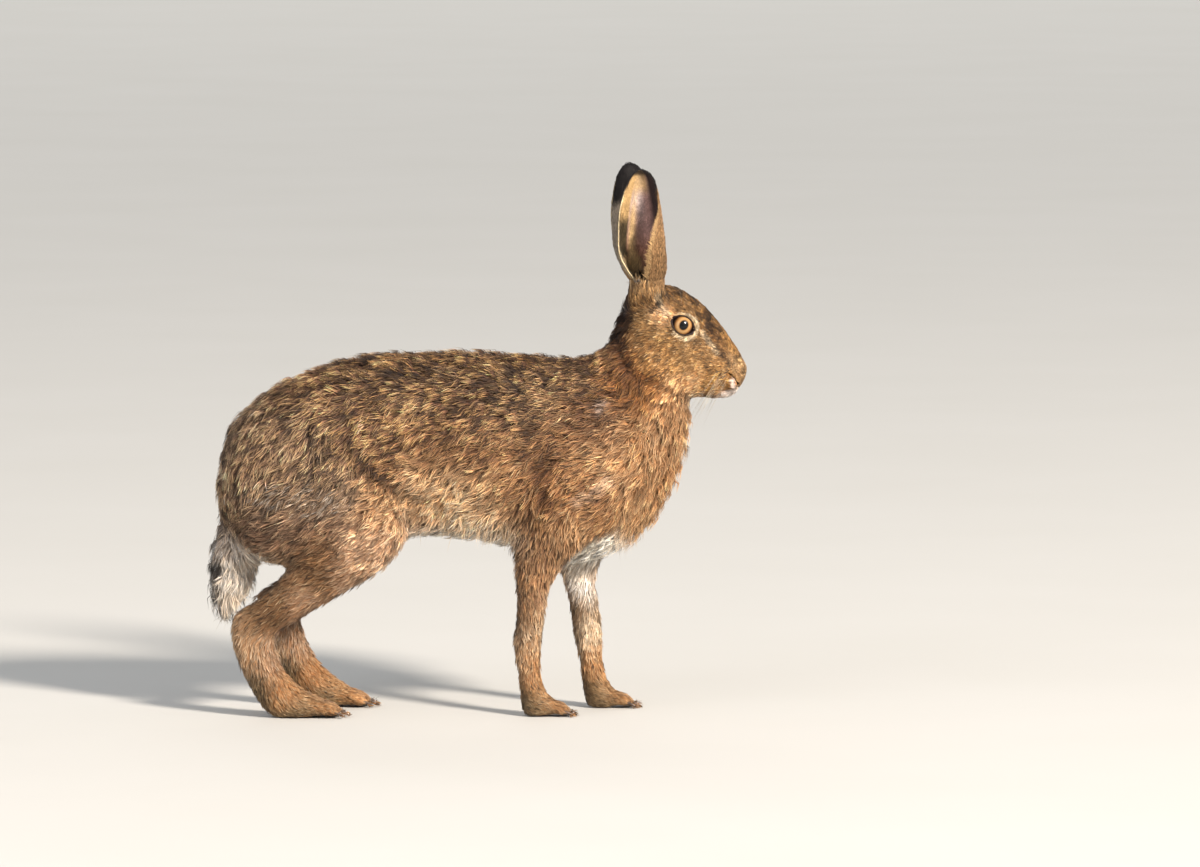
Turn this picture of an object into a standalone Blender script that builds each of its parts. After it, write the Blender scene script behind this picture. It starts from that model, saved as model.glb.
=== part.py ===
# A brown hare standing broadside with its head up, modelled at life size.
# It faces +X, its right flank is towards -Y, and its feet stand on the plane Z = 0.
# The body is lofted from a few outline sections, fused into one form, then parted
# into the pieces that a person would name. Sizes in the tables are millimetres.
import math
from collections import namedtuple

import bmesh
import bpy
import numpy as np
from mathutils import Matrix, Vector
from mathutils.bvhtree import BVHTree

MM = 0.001
GAP = 0.35 * MM
RIGHT, LEFT = -1, 1
SIDE_NAMES = {RIGHT: "right", LEFT: "left"}

# How finely the fused body is made: its voxels, then its triangles in two rounds
VOXEL = 1.3 * MM
FIRST_TRIANGLES = 16500
ALL_TRIANGLES = 7000

# The head as seen from the side: an ellipse that its cutter and its finer mesh follow
HEAD_CENTRE = (186.6, 328.6)
HEAD_RADII = (70.4, 50.5)
HEAD_TILT = 23

# One section: two points of the side outline (x, z), the distance of its middle from
# the midline, its half width, where along the span it is widest, and its squareness
Ring = namedtuple("Ring", "upper lower side half_width level full", defaults=(0.5, 2.0))

TRUNK = {
    "tail root": Ring((-227, 200), (-224, 170), 0, 17),
    "rump": Ring((-220, 238), (-208, 146), 0, 40, 0.52),
    "hips": Ring((-188, 278), (-170, 136), 0, 54, 0.55, 2.15),
    "croup": Ring((-143, 301), (-126, 142), 0, 56, 0.55, 2.15),
    "loin": Ring((-95, 313), (-84, 150), 0, 53, 0.52, 2.15),
    "waist": Ring((-51, 315), (-51, 158), 0, 52, 0.5, 2.1),
    "ribs": Ring((2, 316), (0, 154), 0, 57, 0.47, 2.1),
    "girth": Ring((50, 313), (46, 145), 0, 55, 0.47, 2.1),
    "shoulders": Ring((83, 311), (94, 135), 0, 49, 0.5),
    "breast": Ring((106, 317), (143, 159), 0, 42, 0.48),
    "neck base": Ring((116, 326), (171, 201), 0, 36, 0.5),
    "neck": Ring((121, 338), (183, 245), 0, 32, 0.5),
    "throat": Ring((128, 354), (186, 281), 0, 29, 0.5),
    "neck top": Ring((136, 362), (180, 300), 0, 22, 0.5),
}

SKULL = {
    "nape": Ring((124, 346), (132, 318), 0, 12),
    "back of head": Ring((130, 367), (139, 303), 0, 22, 0.48),
    "jaw corner": Ring((147, 378), (154, 288), 0, 28, 0.48, 2.1),
    "cheek": Ring((167, 377.5), (173, 282), 0, 28.5, 0.54, 2.2),
    "eye": Ring((182, 371.5), (187, 278.5), 0, 26.3, 0.6, 2.3),
    "brow": Ring((196, 361.5), (198, 277.5), 0, 22.5, 0.55, 2.25),
    "bridge": Ring((210, 347), (209, 277), 0, 18.5, 0.45, 2.1),
    "muzzle": Ring((221.5, 331), (218, 279), 0, 15.5, 0.4),
    "nose": Ring((230.5, 317.5), (226, 283), 0, 12, 0.45),
    "nose end": Ring((235, 308), (230.5, 287), 0, 8.5, 0.5),
    "nose tip": Ring((236.7, 302.5), (234, 292), 0, 4.5, 0.5),
}

HAUNCH = {
    "hip": Ring((-150, 271), (-200, 218), 27, 16),
    "upper thigh": Ring((-118, 255), (-206, 174), 34, 24),
    "thigh": Ring((-88, 217), (-195, 144), 39, 26),
    "lower thigh": Ring((-69, 180), (-166, 131), 41, 26),
    "above knee": Ring((-65, 154), (-137, 112), 43, 23),
    "knee": Ring((-80, 133), (-112, 116), 44, 12),
}

SHANK = {
    "inside thigh": Ring((-74, 160), (-140, 182), 42, 16),
    "knee": Ring((-73, 143), (-156, 153), 43.5, 21.5),
    "calf": Ring((-97, 121), (-160, 138), 44, 19),
    "shank": Ring((-126, 103), (-175, 120), 43, 15.5),
    "above hock": Ring((-153, 87), (-195, 103), 42, 13),
    "hock": Ring((-176, 71), (-217, 87), 41, 12.5),
    "under hock": Ring((-182, 62), (-214, 74), 41, 10),
}

HIND_FOOT = {
    "point of hock": Ring((-188, 86), (-213, 91), 41, 8),
    "heel": Ring((-179, 70), (-217.5, 77), 41, 12),
    "metatarsus": Ring((-174, 54), (-213, 54), 41, 13.5),
    "lower metatarsus": Ring((-165, 36), (-201, 28), 42, 16),
    "toe roots": Ring((-152, 24), (-188, 7), 42, 18.5),
    "ball": Ring((-140, 18), (-172, -3), 42, 18.5),
    "web": Ring((-132, 13), (-150, -3), 42, 16),
}

SHOULDER = {
    "withers edge": Ring((128, 282), (94, 290), 24, 9),
    "shoulder": Ring((148, 246), (70, 266), 32, 17.5),
    "upper arm": Ring((150, 207), (49, 224), 37, 21),
    "elbow": Ring((123, 169), (35, 185), 39, 21),
    "above forearm": Ring((88, 146), (31, 155), 38, 18),
}

FOREARM = {
    "inside elbow": Ring((118, 176), (38, 186), 38, 17),
    "elbow": Ring((86, 143), (31, 151), 38, 18),
    "forearm": Ring((65, 118), (33.5, 120), 37, 14),
    "lower forearm": Ring((60, 90), (34, 90), 35, 12),
    "wrist": Ring((56.5, 62), (30.5, 60), 34, 12),
    "pastern": Ring((55.5, 43), (35, 40), 34, 11.5),
    "paw": Ring((58, 26), (37, 20), 34, 13.5),
    "pads": Ring((66, 15), (42, -2), 34, 14.5),
    "toe web": Ring((73, 11), (58, -3), 34, 12),
}

TAIL = {
    "inside rump": Ring((-212, 196), (-196, 172), 0, 11),
    "root": Ring((-224, 172), (-200, 156), 0, 14),
    "upper": Ring((-231, 148), (-195, 143), 0, 17),
    "middle": Ring((-234.5, 125), (-196, 124), 0, 18),
    "lower": Ring((-235, 105), (-204, 103), 0, 15),
    "end": Ring((-233, 93), (-213, 91), 0, 10),
    "tip": Ring((-228, 85), (-222, 85), 0, 3),
}

EAR_ROOT = {
    "inside head": Ring((160, 341), (137, 334), 14.5, 8),
    "under collar": Ring((164, 354), (133, 351), 15.5, 12),
    "collar": Ring((166, 368), (131, 367), 16.5, 14),
    "rim": Ring((165.5, 380), (130.5, 380), 17.5, 14.8),
    "over rim": Ring((165.5, 394), (129, 394), 18.5, 15),
}

# How the left legs differ from the right ones in the photo: (knee or elbow, foot)
HIND_STEP = {RIGHT: ((0, 0), (0, 0), (0, 0)), LEFT: ((0, 0), (21, 11), (24, 0))}
FORE_STEP = {RIGHT: ((0, 0), (0, 0), (0, 0)), LEFT: ((24, 0), (54, 0), (56, 0))}

EYE_CENTRE = (180, 20.4, 344.5)
EYE_RADIUS = 10.6
EYE_AXIS = (0.17, 0.97, 0.1)

EAR_BASE = (147.5, 17.5, 381)
EAR_TIP = {RIGHT: (142.5, 29, 482.5), LEFT: (131.5, 28, 484.5)}
EAR_THICKNESS = 2.3
EAR_TURN = 22
# Share of the ear's height: half width in millimetres, then how far the leaf is rolled
# round from the back of the cup, in degrees, to its rear edge and to its front edge
EAR_PROFILE = {
    0.00: (15.8, 160, 166),
    0.10: (19.5, 142, 157),
    0.22: (22.0, 120, 150),
    0.36: (22.6, 107, 142),
    0.52: (21.2, 97, 129),
    0.68: (19.2, 86, 104),
    0.81: (15.8, 74, 78),
    0.91: (10.8, 62, 62),
    0.97: (6.0, 52, 52),
    1.00: (1.6, 40, 40),
}

# Side outlines of the cutters that part the body; the limb ones are for the right side
FLOOR_CUT = ((-260, 0), (260, 0), (260, -30), (-260, -30))
HOCK_CUT = ((-172, 68), (-214, 98), (-240, 100), (-240, -20), (-90, -20), (-90, 40))
KNEE_CUT = ((-56, 122), (-118, 134), (-158, 139), (-185, 126), (-250, 112), (-250, 50), (-56, 50))
WRIST_CUT = ((10, 49), (90, 53), (110, 53), (110, -20), (10, -20))
ELBOW_CUT = ((12, 160), (40, 152), (84, 142), (100, 141), (120, 120), (120, 20), (12, 20))
TAIL_CUT = ((-255, 176), (-227, 173), (-202, 157), (-193, 143), (-188, 70), (-255, 70))
NECK_CUT = ((86.6, 374.8), (111, 320), (167, 194), (191.4, 139), (285, 139), (285, 420), (86.6, 420))

FINISHES = {
    "torso": "fur_back",
    "neck": "fur_flank",
    "head": "fur_flank",
    "thigh": "fur_back",
    "tail": "fur_tail",
    "ear": "fur_ear",
    "eye": "eye",
}

COLOURS = {
    "fur_back": ((0.235, 0.145, 0.075), 0.9),
    "fur_flank": ((0.36, 0.2, 0.095), 0.9),
    "fur_leg": ((0.42, 0.24, 0.12), 0.9),
    "fur_tail": ((0.62, 0.54, 0.47), 0.9),
    "fur_ear": ((0.3, 0.2, 0.13), 0.85),
    "eye": ((0.45, 0.24, 0.07), 0.1),
}


def clear_scene():
    for obj in list(bpy.data.objects):
        bpy.data.objects.remove(obj)


def collection(name, hidden=False):
    made = bpy.data.collections.new(name)
    bpy.context.scene.collection.children.link(made)
    made.hide_render = hidden
    return made


def new_object(name, bm, where):
    mesh = bpy.data.meshes.new(name)
    bmesh.ops.recalc_face_normals(bm, faces=bm.faces)
    bm.to_mesh(mesh)
    bm.free()
    obj = bpy.data.objects.new(name, mesh)
    where.objects.link(obj)
    return obj


def applied(obj):
    """Turns the object's modifiers into its own mesh."""
    graph = bpy.context.evaluated_depsgraph_get()
    mesh = bpy.data.meshes.new_from_object(obj.evaluated_get(graph))
    obj.modifiers.clear()
    obj.data = mesh
    return obj


def ring_rows(rings):
    return np.array([[*r.upper, *r.lower, r.side, r.half_width, r.level, r.full] for r in rings])


def smooth_rows(rows, steps):
    """Rows read from a smooth curve through the given ones, evenly between each pair."""
    middles = (rows[:, 0:2] + rows[:, 2:4]) / 2
    middles = np.column_stack([middles, rows[:, 4]])
    gaps = np.linalg.norm(np.diff(middles, axis=0), axis=1)
    at = np.concatenate([[0], np.cumsum(np.maximum(gaps, 1e-6))])
    slopes = np.gradient(rows, at, axis=0)
    made = []
    for i in range(len(rows) - 1):
        span = at[i + 1] - at[i]
        for t in np.arange(steps) / steps:
            a, b = 2 * t**3 - 3 * t**2 + 1, t**3 - 2 * t**2 + t
            c, d = -2 * t**3 + 3 * t**2, t**3 - t**2
            made.append(a * rows[i] + b * span * slopes[i] + c * rows[i + 1] + d * span * slopes[i + 1])
    made.append(rows[-1])
    return np.array(made)


def stepped(rings, step):
    """Rows of the sections, the far ones moved for the other leg's stride."""
    rows = ring_rows(rings)
    share = np.linspace(0, len(step) - 1, len(rows))
    for axis in (0, 1):
        shift = np.interp(share, range(len(step)), [s[axis] for s in step])
        rows[:, axis] += shift
        rows[:, axis + 2] += shift
    return rows


def section(row, side, count):
    """Points round one section: an egg whose widest place lies at its level."""
    upper, lower = Vector((row[0], 0, row[1])), Vector((row[2], 0, row[3]))
    span = upper - lower
    level, power = row[6], 2 / row[7]
    centre = lower + span * level + Vector((0, side * row[4], 0))
    points = []
    for k in range(count):
        angle = 2 * math.pi * k / count
        up, out = math.cos(angle), math.sin(angle)
        up = math.copysign(abs(up) ** power, up)
        out = math.copysign(abs(out) ** power, out)
        reach = up * (1 - level if up > 0 else level)
        points.append((centre + span * reach + Vector((0, side * out * row[5], 0))) * MM)
    return points


def loft(name, rings, side=RIGHT, where=None, count=28, steps=5, step=((0, 0),) * 3):
    """A closed form through the sections. step moves the far end, for the other leg's stride."""
    bm = bmesh.new()
    loops = []
    for row in smooth_rows(stepped(rings, step), steps):
        loops.append([bm.verts.new(p) for p in section(row, side, count)])
    for one, two in zip(loops, loops[1:]):
        for k in range(count):
            bm.faces.new((one[k], one[(k + 1) % count], two[(k + 1) % count], two[k]))
    for loop in (loops[0], loops[-1]):
        bm.faces.new(loop)
    return new_object(name, bm, where)


def egg(name, centre, radii, side=RIGHT, where=None, tilt=0.0, around=24):
    """An ellipsoid, tilted about the side-to-side axis."""
    bm = bmesh.new()
    bmesh.ops.create_uvsphere(bm, u_segments=around, v_segments=around * 2 // 3, radius=MM)
    place = Matrix.Translation(Vector((centre[0], side * centre[1], centre[2])) * MM)
    bmesh.ops.transform(bm, matrix=Matrix.Diagonal((*radii, 1)), verts=bm.verts)
    bmesh.ops.transform(bm, matrix=place @ Matrix.Rotation(math.radians(tilt), 4, "Y"), verts=bm.verts)
    return new_object(name, bm, where)


def slab(name, outline, reach, side, where, shift=(0, 0)):
    """A cutter: a closed outline seen from the side, carried from reach[0] to reach[1] across."""
    bm = bmesh.new()
    walls = []
    for y in reach:
        walls.append([bm.verts.new(Vector((x + shift[0], side * y, z + shift[1])) * MM) for x, z in outline])
    for k in range(len(outline)):
        k2 = (k + 1) % len(outline)
        bm.faces.new((walls[0][k], walls[0][k2], walls[1][k2], walls[1][k]))
    for wall in walls:
        bm.faces.new(wall)
    return new_object(name, bm, where)


def limb_outline(rings, margin, step=((0, 0),) * 3, beyond=0):
    """A limb's outline seen from the side, a little way outside it, with a round top."""
    rows = smooth_rows(stepped(rings, step), 3)
    upper, lower = rows[:, 0:2], rows[:, 2:4]
    out = (upper - lower) / np.linalg.norm(upper - lower, axis=1)[:, None] * margin
    upper, lower = upper + out, lower - out
    centre, half = (upper[0] + lower[0]) / 2, (upper[0] - lower[0]) / 2
    rise = centre - (upper[2] + lower[2]) / 2
    rise *= 0.6 * np.linalg.norm(half) / np.linalg.norm(rise)
    cap = [centre + half * math.cos(t) + rise * math.sin(t) for t in np.linspace(math.pi, 0, 7)[1:-1]]
    drop = np.array((0, -beyond))
    return [tuple(p) for p in [*cap, *upper, upper[-1] + drop, lower[-1] + drop, *lower[::-1]]]


def eye_frame(side):
    """Matrix whose Z runs out of the eye and whose X runs along the slit of the lids."""
    out = Vector((EYE_AXIS[0], side * EYE_AXIS[1], EYE_AXIS[2])).normalized()
    slit = Vector((math.cos(math.radians(30)), 0, -math.sin(math.radians(30))))
    slit = (slit - out * slit.dot(out)).normalized()
    centre = Vector((EYE_CENTRE[0], side * EYE_CENTRE[1], EYE_CENTRE[2])) * MM
    return Matrix.Translation(centre) @ Matrix((slit, out.cross(slit), out)).transposed().to_4x4()


def lid_ring(side, where):
    """The swollen rim of both eyelids: an oval ring hugging the front of the eyeball."""
    thickness = 2.7
    bm = bmesh.new()
    loops = []
    for k in range(32):
        a = 2 * math.pi * k / 32
        out = Vector((math.cos(a), math.sin(a), 0))
        middle = Vector((10.8 * out.x, 10.0 * out.y, 3.8 + 1.8 * out.y**2))
        loop = []
        for j in range(10):
            b = 2 * math.pi * j / 10
            swell = out * math.cos(b) + Vector((0, 0, math.sin(b)))
            loop.append(bm.verts.new((middle + swell * thickness) * MM))
        loops.append(loop)
    for one, two in zip(loops, loops[1:] + loops[:1]):
        for j in range(10):
            bm.faces.new((one[j], one[(j + 1) % 10], two[(j + 1) % 10], two[j]))
    bmesh.ops.transform(bm, matrix=eye_frame(side), verts=bm.verts)
    return new_object("lid ring " + SIDE_NAMES[side], bm, where)


def toes(name, root, length, radius, spread, side, where, heights):
    """Four toes side by side, fanned a little, the middle two longest."""
    made = []
    for k, share in enumerate((-1.0, -0.36, 0.3, 0.92)):
        reach = length * (1 - 0.16 * share * share)
        start, end = root[1] + spread * share, root[1] + spread * 1.28 * share
        rings = []
        for t, height in zip((0.0, 0.35, 0.7, 0.93, 1.0), heights):
            x = root[0] + reach * t
            z = height
            r = radius * (1.0, 1.06, 1.0, 0.72, 0.3)[len(rings)]
            rings.append(Ring((x, z + r), (x, z - r), start + (end - start) * t, r))
        made.append(loft(f"{name} {k}", rings, side, where, count=12, steps=3))
    return made


def claws(root, length, spread, side, where, height):
    """The four horn claws that show past the toe fur, bent down to just over the ground."""
    made = []
    for share in (-1.0, -0.36, 0.3, 0.92):
        x = root[0] + length * (1 - 0.16 * share * share)
        y = root[1] + spread * 1.28 * share
        rings = []
        for t, drop, r in ((-5, 0.6, 1.9), (0, 0.1, 1.7), (2.5, -0.9, 1.3), (4.5, -2.4, 0.6)):
            rings.append(Ring((x + t, height + drop + r), (x + t, height + drop - r), y, r * 0.8))
        made.append(loft("claw", rings, side, where, count=6, steps=1))
    return made


def head_share(co):
    """1 inside the head, falling to 0 over the neck; middling on the feet."""
    x, z = co.x / MM - HEAD_CENTRE[0], co.z / MM - HEAD_CENTRE[1]
    turn = math.radians(HEAD_TILT)
    along = (x * math.cos(turn) - z * math.sin(turn)) / HEAD_RADII[0]
    across = (x * math.sin(turn) + z * math.cos(turn)) / HEAD_RADII[1]
    return min(max(4.5 - 3.5 * math.hypot(along, across), 0), 1)


def fuse(name, pieces, where):
    """One skin over all the pieces, with its joins smoothed, then thinned to few triangles."""
    bm = bmesh.new()
    for piece in pieces:
        bm.from_mesh(piece.data)
        bpy.data.objects.remove(piece)
    obj = new_object(name, bm, where)
    remesh = obj.modifiers.new("Fuse", "REMESH")
    remesh.mode = "VOXEL"
    remesh.voxel_size = VOXEL
    applied(obj)
    group = obj.vertex_groups.new(name="body")
    for vert in obj.data.vertices:
        group.add([vert.index], 1 - head_share(vert.co), "REPLACE")
    for label, rounds, only in (("Blend", 6, ""), ("Blend body", 26, "body")):
        smooth = obj.modifiers.new(label, "SMOOTH")
        smooth.factor = 0.5
        smooth.iterations = rounds
        smooth.vertex_group = only
    count = 2 * len(obj.data.polygons)
    for share, only in ((FIRST_TRIANGLES / count, ""), (ALL_TRIANGLES / FIRST_TRIANGLES, "body")):
        thin = obj.modifiers.new("Thin", "DECIMATE")
        thin.ratio = share
        thin.use_collapse_triangulate = True
        thin.vertex_group = only
    applied(obj)
    obj.vertex_groups.clear()
    return keep_largest(obj)


def keep_largest(obj):
    """Drops every loose scrap but the largest closed surface."""
    bm = bmesh.new()
    bm.from_mesh(obj.data)
    todo, groups = set(bm.verts), []
    while todo:
        group, edge = set(), [todo.pop()]
        while edge:
            vert = edge.pop()
            group.add(vert)
            near = [e.other_vert(vert) for e in vert.link_edges]
            edge += [v for v in near if v in todo]
            todo.difference_update(near)
        groups.append(group)
    groups.sort(key=lambda g: (len(g), sum(v.co.x for v in g)))
    for group in groups[:-1]:
        bmesh.ops.delete(bm, geom=list(group), context="VERTS")
    bm.to_mesh(obj.data)
    bm.free()
    return obj


def boolean(obj, others, operation):
    """Applies one Boolean with every object of a collection, and removes those objects."""
    group = bpy.data.collections.new("pieces")
    for other in others:
        group.objects.link(other)
    modifier = obj.modifiers.new("Boolean", "BOOLEAN")
    modifier.operation = operation
    modifier.operand_type = "COLLECTION"
    modifier.collection = group
    modifier.solver = "EXACT"
    applied(obj)
    for other in others:
        bpy.data.objects.remove(other)
    bpy.data.collections.remove(group)
    return obj


def grown(obj, amount, where):
    """A copy whose surface lies outside the first by the amount."""
    bm = bmesh.new()
    bm.from_mesh(obj.data)
    bm.normal_update()
    moved = [(v, v.co + v.normal * amount) for v in bm.verts]
    for vert, place in moved:
        vert.co = place
    return new_object(obj.name + " grown", bm, where)


def part_off(rest, cutter, name, where, helpers):
    """Takes what lies inside the cutter off the rest, as a piece of its own, a thin gap away."""
    piece = rest.copy()
    piece.data = rest.data.copy()
    piece.name = name
    where.objects.link(piece)
    wider = grown(cutter, GAP * 1.3, helpers)
    boolean(piece, [cutter], "INTERSECT")
    boolean(rest, [wider], "DIFFERENCE")
    keep_largest(rest)
    return keep_largest(piece)


def forms(helpers):
    """Every lofted form of the body, before they are fused."""
    made = [loft("trunk", TRUNK.values(), where=helpers, count=40)]
    made.append(loft("skull", SKULL.values(), where=helpers, count=48, steps=7))
    made.append(loft("tail form", TAIL.values(), where=helpers))
    made.append(egg("nose pad", (231.5, 0, 303), (5.5, 7.5, 7.5), where=helpers))
    made.append(egg("chin", (217.5, 0, 283), (12, 8.5, 5.8), where=helpers, tilt=8))
    for side in (RIGHT, LEFT):
        hind, fore = HIND_STEP[side], FORE_STEP[side]
        foot_x, paw_x = hind[2][0], fore[2][0]
        made.append(loft("haunch", HAUNCH.values(), side, helpers))
        made.append(loft("shank form", SHANK.values(), side, helpers, step=hind[:2]))
        made.append(loft("foot form", HIND_FOOT.values(), side, helpers, step=hind[1:]))
        made.append(loft("shoulder form", SHOULDER.values(), side, helpers, step=((0, 0), fore[0])))
        made.append(loft("forearm form", FOREARM.values(), side, helpers, step=fore[:2] + fore[2:]))
        made += toes("hind toe", (-150 + foot_x, 42), 33, 6.3, 12.5, side, helpers, (11, 9.5, 7.5, 5.5, 5))
        made += toes("fore toe", (62 + paw_x, 34), 21, 5.2, 9.6, side, helpers, (9, 8, 6.4, 4.8, 4.4))
        made.append(loft("ear root", EAR_ROOT.values(), side, helpers))
        made.append(egg("jaw muscle", (157, 16.5, 314), (26, 12.5, 25), side, helpers))
        made.append(egg("cheekbone", (175, 16.5, 330), (24, 10.5, 10), side, helpers, tilt=18))
        made.append(egg("brow ridge", (180, 15.2, 355), (17, 8.8, 7), side, helpers, tilt=24))
        made.append(egg("whisker pad", (219.5, 8.2, 294.5), (13.5, 8.6, 9.5), side, helpers, tilt=20))
        made.append(egg("nostril rim", (229, 5.8, 298), (5.5, 4.6, 8), side, helpers, tilt=-24))
        made.append(lid_ring(side, helpers))
    return made


def groove(name, head, path, side, radius, sink, where):
    """A round groove along a path laid on the head: a bevelled curve turned into a cutter."""
    tree = BVHTree.FromPolygons([v.co for v in head.data.vertices], [p.vertices for p in head.data.polygons])
    curve = bpy.data.curves.new(name, "CURVE")
    curve.dimensions = "3D"
    curve.bevel_depth = MM
    curve.bevel_resolution = 1
    curve.use_fill_caps = True
    spline = curve.splines.new("POLY")
    spline.points.add(len(path) - 1)
    for point, place, share in zip(spline.points, path, np.linspace(0, 1, len(path))):
        spot, normal = tree.find_nearest(Vector((place[0], side * place[1], place[2])) * MM)[:2]
        point.co = (*(spot - normal * sink * MM), 1)
        point.radius = radius * (1 - 0.55 * share**2)
    obj = bpy.data.objects.new(name, curve)
    where.objects.link(obj)
    graph = bpy.context.evaluated_depsgraph_get()
    bm = bmesh.new()
    bm.from_mesh(bpy.data.meshes.new_from_object(obj.evaluated_get(graph)))
    bmesh.ops.remove_doubles(bm, verts=bm.verts, dist=0.01 * MM)
    bpy.data.objects.remove(obj)
    return new_object(name, bm, where)


def carve_face(head, helpers):
    """Cuts the eye sockets, the nostrils, the cleft of the lip and the line of the mouth."""
    cutters = []
    for side in (RIGHT, LEFT):
        cutters.append(egg("socket", EYE_CENTRE, (EYE_RADIUS + GAP / MM,) * 3, side, helpers))
        cutters.append(egg("ear canal", EAR_BASE, (10.5, 8.6, 17), side, helpers))
        slit = [(230, 4.2, 290), (227.8, 7, 291.5), (225, 9.3, 295), (221, 10.6, 299.5)]
        cutters.append(groove("nostril", head, slit, side, 1.9, 0.1, helpers))
        mouth = [(232, 0.3, 286.6), (230, 4, 285.4), (225.5, 8, 284), (218, 11, 283.4), (207, 13.5, 285)]
        cutters.append(groove("mouth line", head, mouth, side, 1.1, 0.1, helpers))
    cleft = [(236, 0, 293), (234.5, 0, 289.5), (232.5, 0, 287.2)]
    cutters.append(groove("lip cleft", head, cleft, RIGHT, 0.9, 0.1, helpers))
    for cutter in cutters:
        boolean(head, [cutter], "DIFFERENCE")
    return keep_largest(head)


def ear(side, where):
    """A rolled leaf that opens outwards and a little to the rear, its front edge folded over."""
    base = Vector((EAR_BASE[0], side * EAR_BASE[1], EAR_BASE[2]))
    tip = Vector((EAR_TIP[side][0], side * EAR_TIP[side][1], EAR_TIP[side][2]))
    up = (tip - base).normalized()
    turn = math.radians(EAR_TURN)
    opening = Vector((-math.sin(turn), side * math.cos(turn), 0))
    opening = (opening - up * opening.dot(up)).normalized()
    forward = up.cross(opening) * -side
    shares = np.array(list(EAR_PROFILE))
    widths, rears, fronts = np.array(list(EAR_PROFILE.values())).T
    levels, around = 14, 15
    bm = bmesh.new()
    rows = []
    for t in 1 - (1 - np.linspace(0, 1, levels)) ** 1.35:
        width = np.interp(t, shares, widths)
        rear, front = (math.radians(np.interp(t, shares, angles)) for angles in (rears, fronts))
        radius = width / math.sin(min(rear, math.pi / 2))
        depth = radius * (0.8 + 0.12 * t)
        set_back = 0.38 * min(t / 0.3, 1)
        middle = base.lerp(tip, t) + opening * (3.5 * math.sin(math.pi * t))
        row = []
        for a in np.linspace(-rear, front, around):
            bend = math.cos(a) if abs(a) < math.pi / 2 else 0.72 * math.cos(a)
            offset = forward * math.sin(a) * radius - opening * (bend - set_back) * depth
            row.append(bm.verts.new((middle + offset) * MM))
        rows.append(row)
    for one, two in zip(rows, rows[1:]):
        for k in range(around - 1):
            bm.faces.new((one[k], one[k + 1], two[k + 1], two[k]))
    obj = new_object("ear_" + SIDE_NAMES[side], bm, where)
    shell = obj.modifiers.new("Thickness", "SOLIDIFY")
    shell.thickness = EAR_THICKNESS * MM
    shell.offset = 0
    return applied(obj)


def eye(side, where):
    obj = egg("eye_" + SIDE_NAMES[side], EYE_CENTRE, (EYE_RADIUS,) * 3, side, where, tilt=90, around=18)
    obj.data.shade_smooth()
    return obj


def paint(obj, finish):
    colour, roughness = COLOURS[finish]
    material = bpy.data.materials.get(finish) or bpy.data.materials.new(finish)
    material.use_nodes = True
    shader = material.node_tree.nodes["Principled BSDF"]
    shader.inputs["Base Color"].default_value = (*colour, 1)
    shader.inputs["Roughness"].default_value = roughness
    shader.inputs["Metallic"].default_value = 0
    obj.data.materials.clear()
    obj.data.materials.append(material)


def ear_plane(head, leaf, side, helpers):
    """Trims the ear and its root to one plane across the ear, a thin gap apart."""
    base = Vector((EAR_BASE[0], side * EAR_BASE[1], EAR_BASE[2]))
    tip = Vector((EAR_TIP[side][0], side * EAR_TIP[side][1], EAR_TIP[side][2]))
    lean = (tip - base).normalized()
    across = Vector((0, 1, 0)) - lean * lean.y
    across.normalize()
    turn = Matrix((across.cross(lean), across, lean)).transposed().to_4x4()
    for obj, direction in ((head, 1), (leaf, -1)):
        bm = bmesh.new()
        bmesh.ops.create_cube(bm, size=1)
        shape = Matrix.Diagonal((60, 44, 24, 1))
        place = Matrix.Translation((0, side * 4.8, direction * (12 - GAP / MM / 2)))
        place = Matrix.Scale(MM, 4) @ Matrix.Translation(base) @ turn @ place @ shape
        bmesh.ops.transform(bm, matrix=place, verts=bm.verts)
        boolean(obj, [new_object("ear trim", bm, helpers)], "DIFFERENCE")


def head_cut():
    """Side outline of the head's cutter: the arc behind the jaw, closed well clear of the face."""
    turn = math.radians(HEAD_TILT)
    points = []
    for angle in np.radians(np.linspace(178, 288, 10)):
        along, across = HEAD_RADII[0] * math.cos(angle), HEAD_RADII[1] * math.sin(angle)
        x = HEAD_CENTRE[0] + along * math.cos(turn) + across * math.sin(turn)
        z = HEAD_CENTRE[1] - along * math.sin(turn) + across * math.cos(turn)
        points.append((x, z))
    return points + [(262, 262), (262, 420), (100, 420)]


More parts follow.
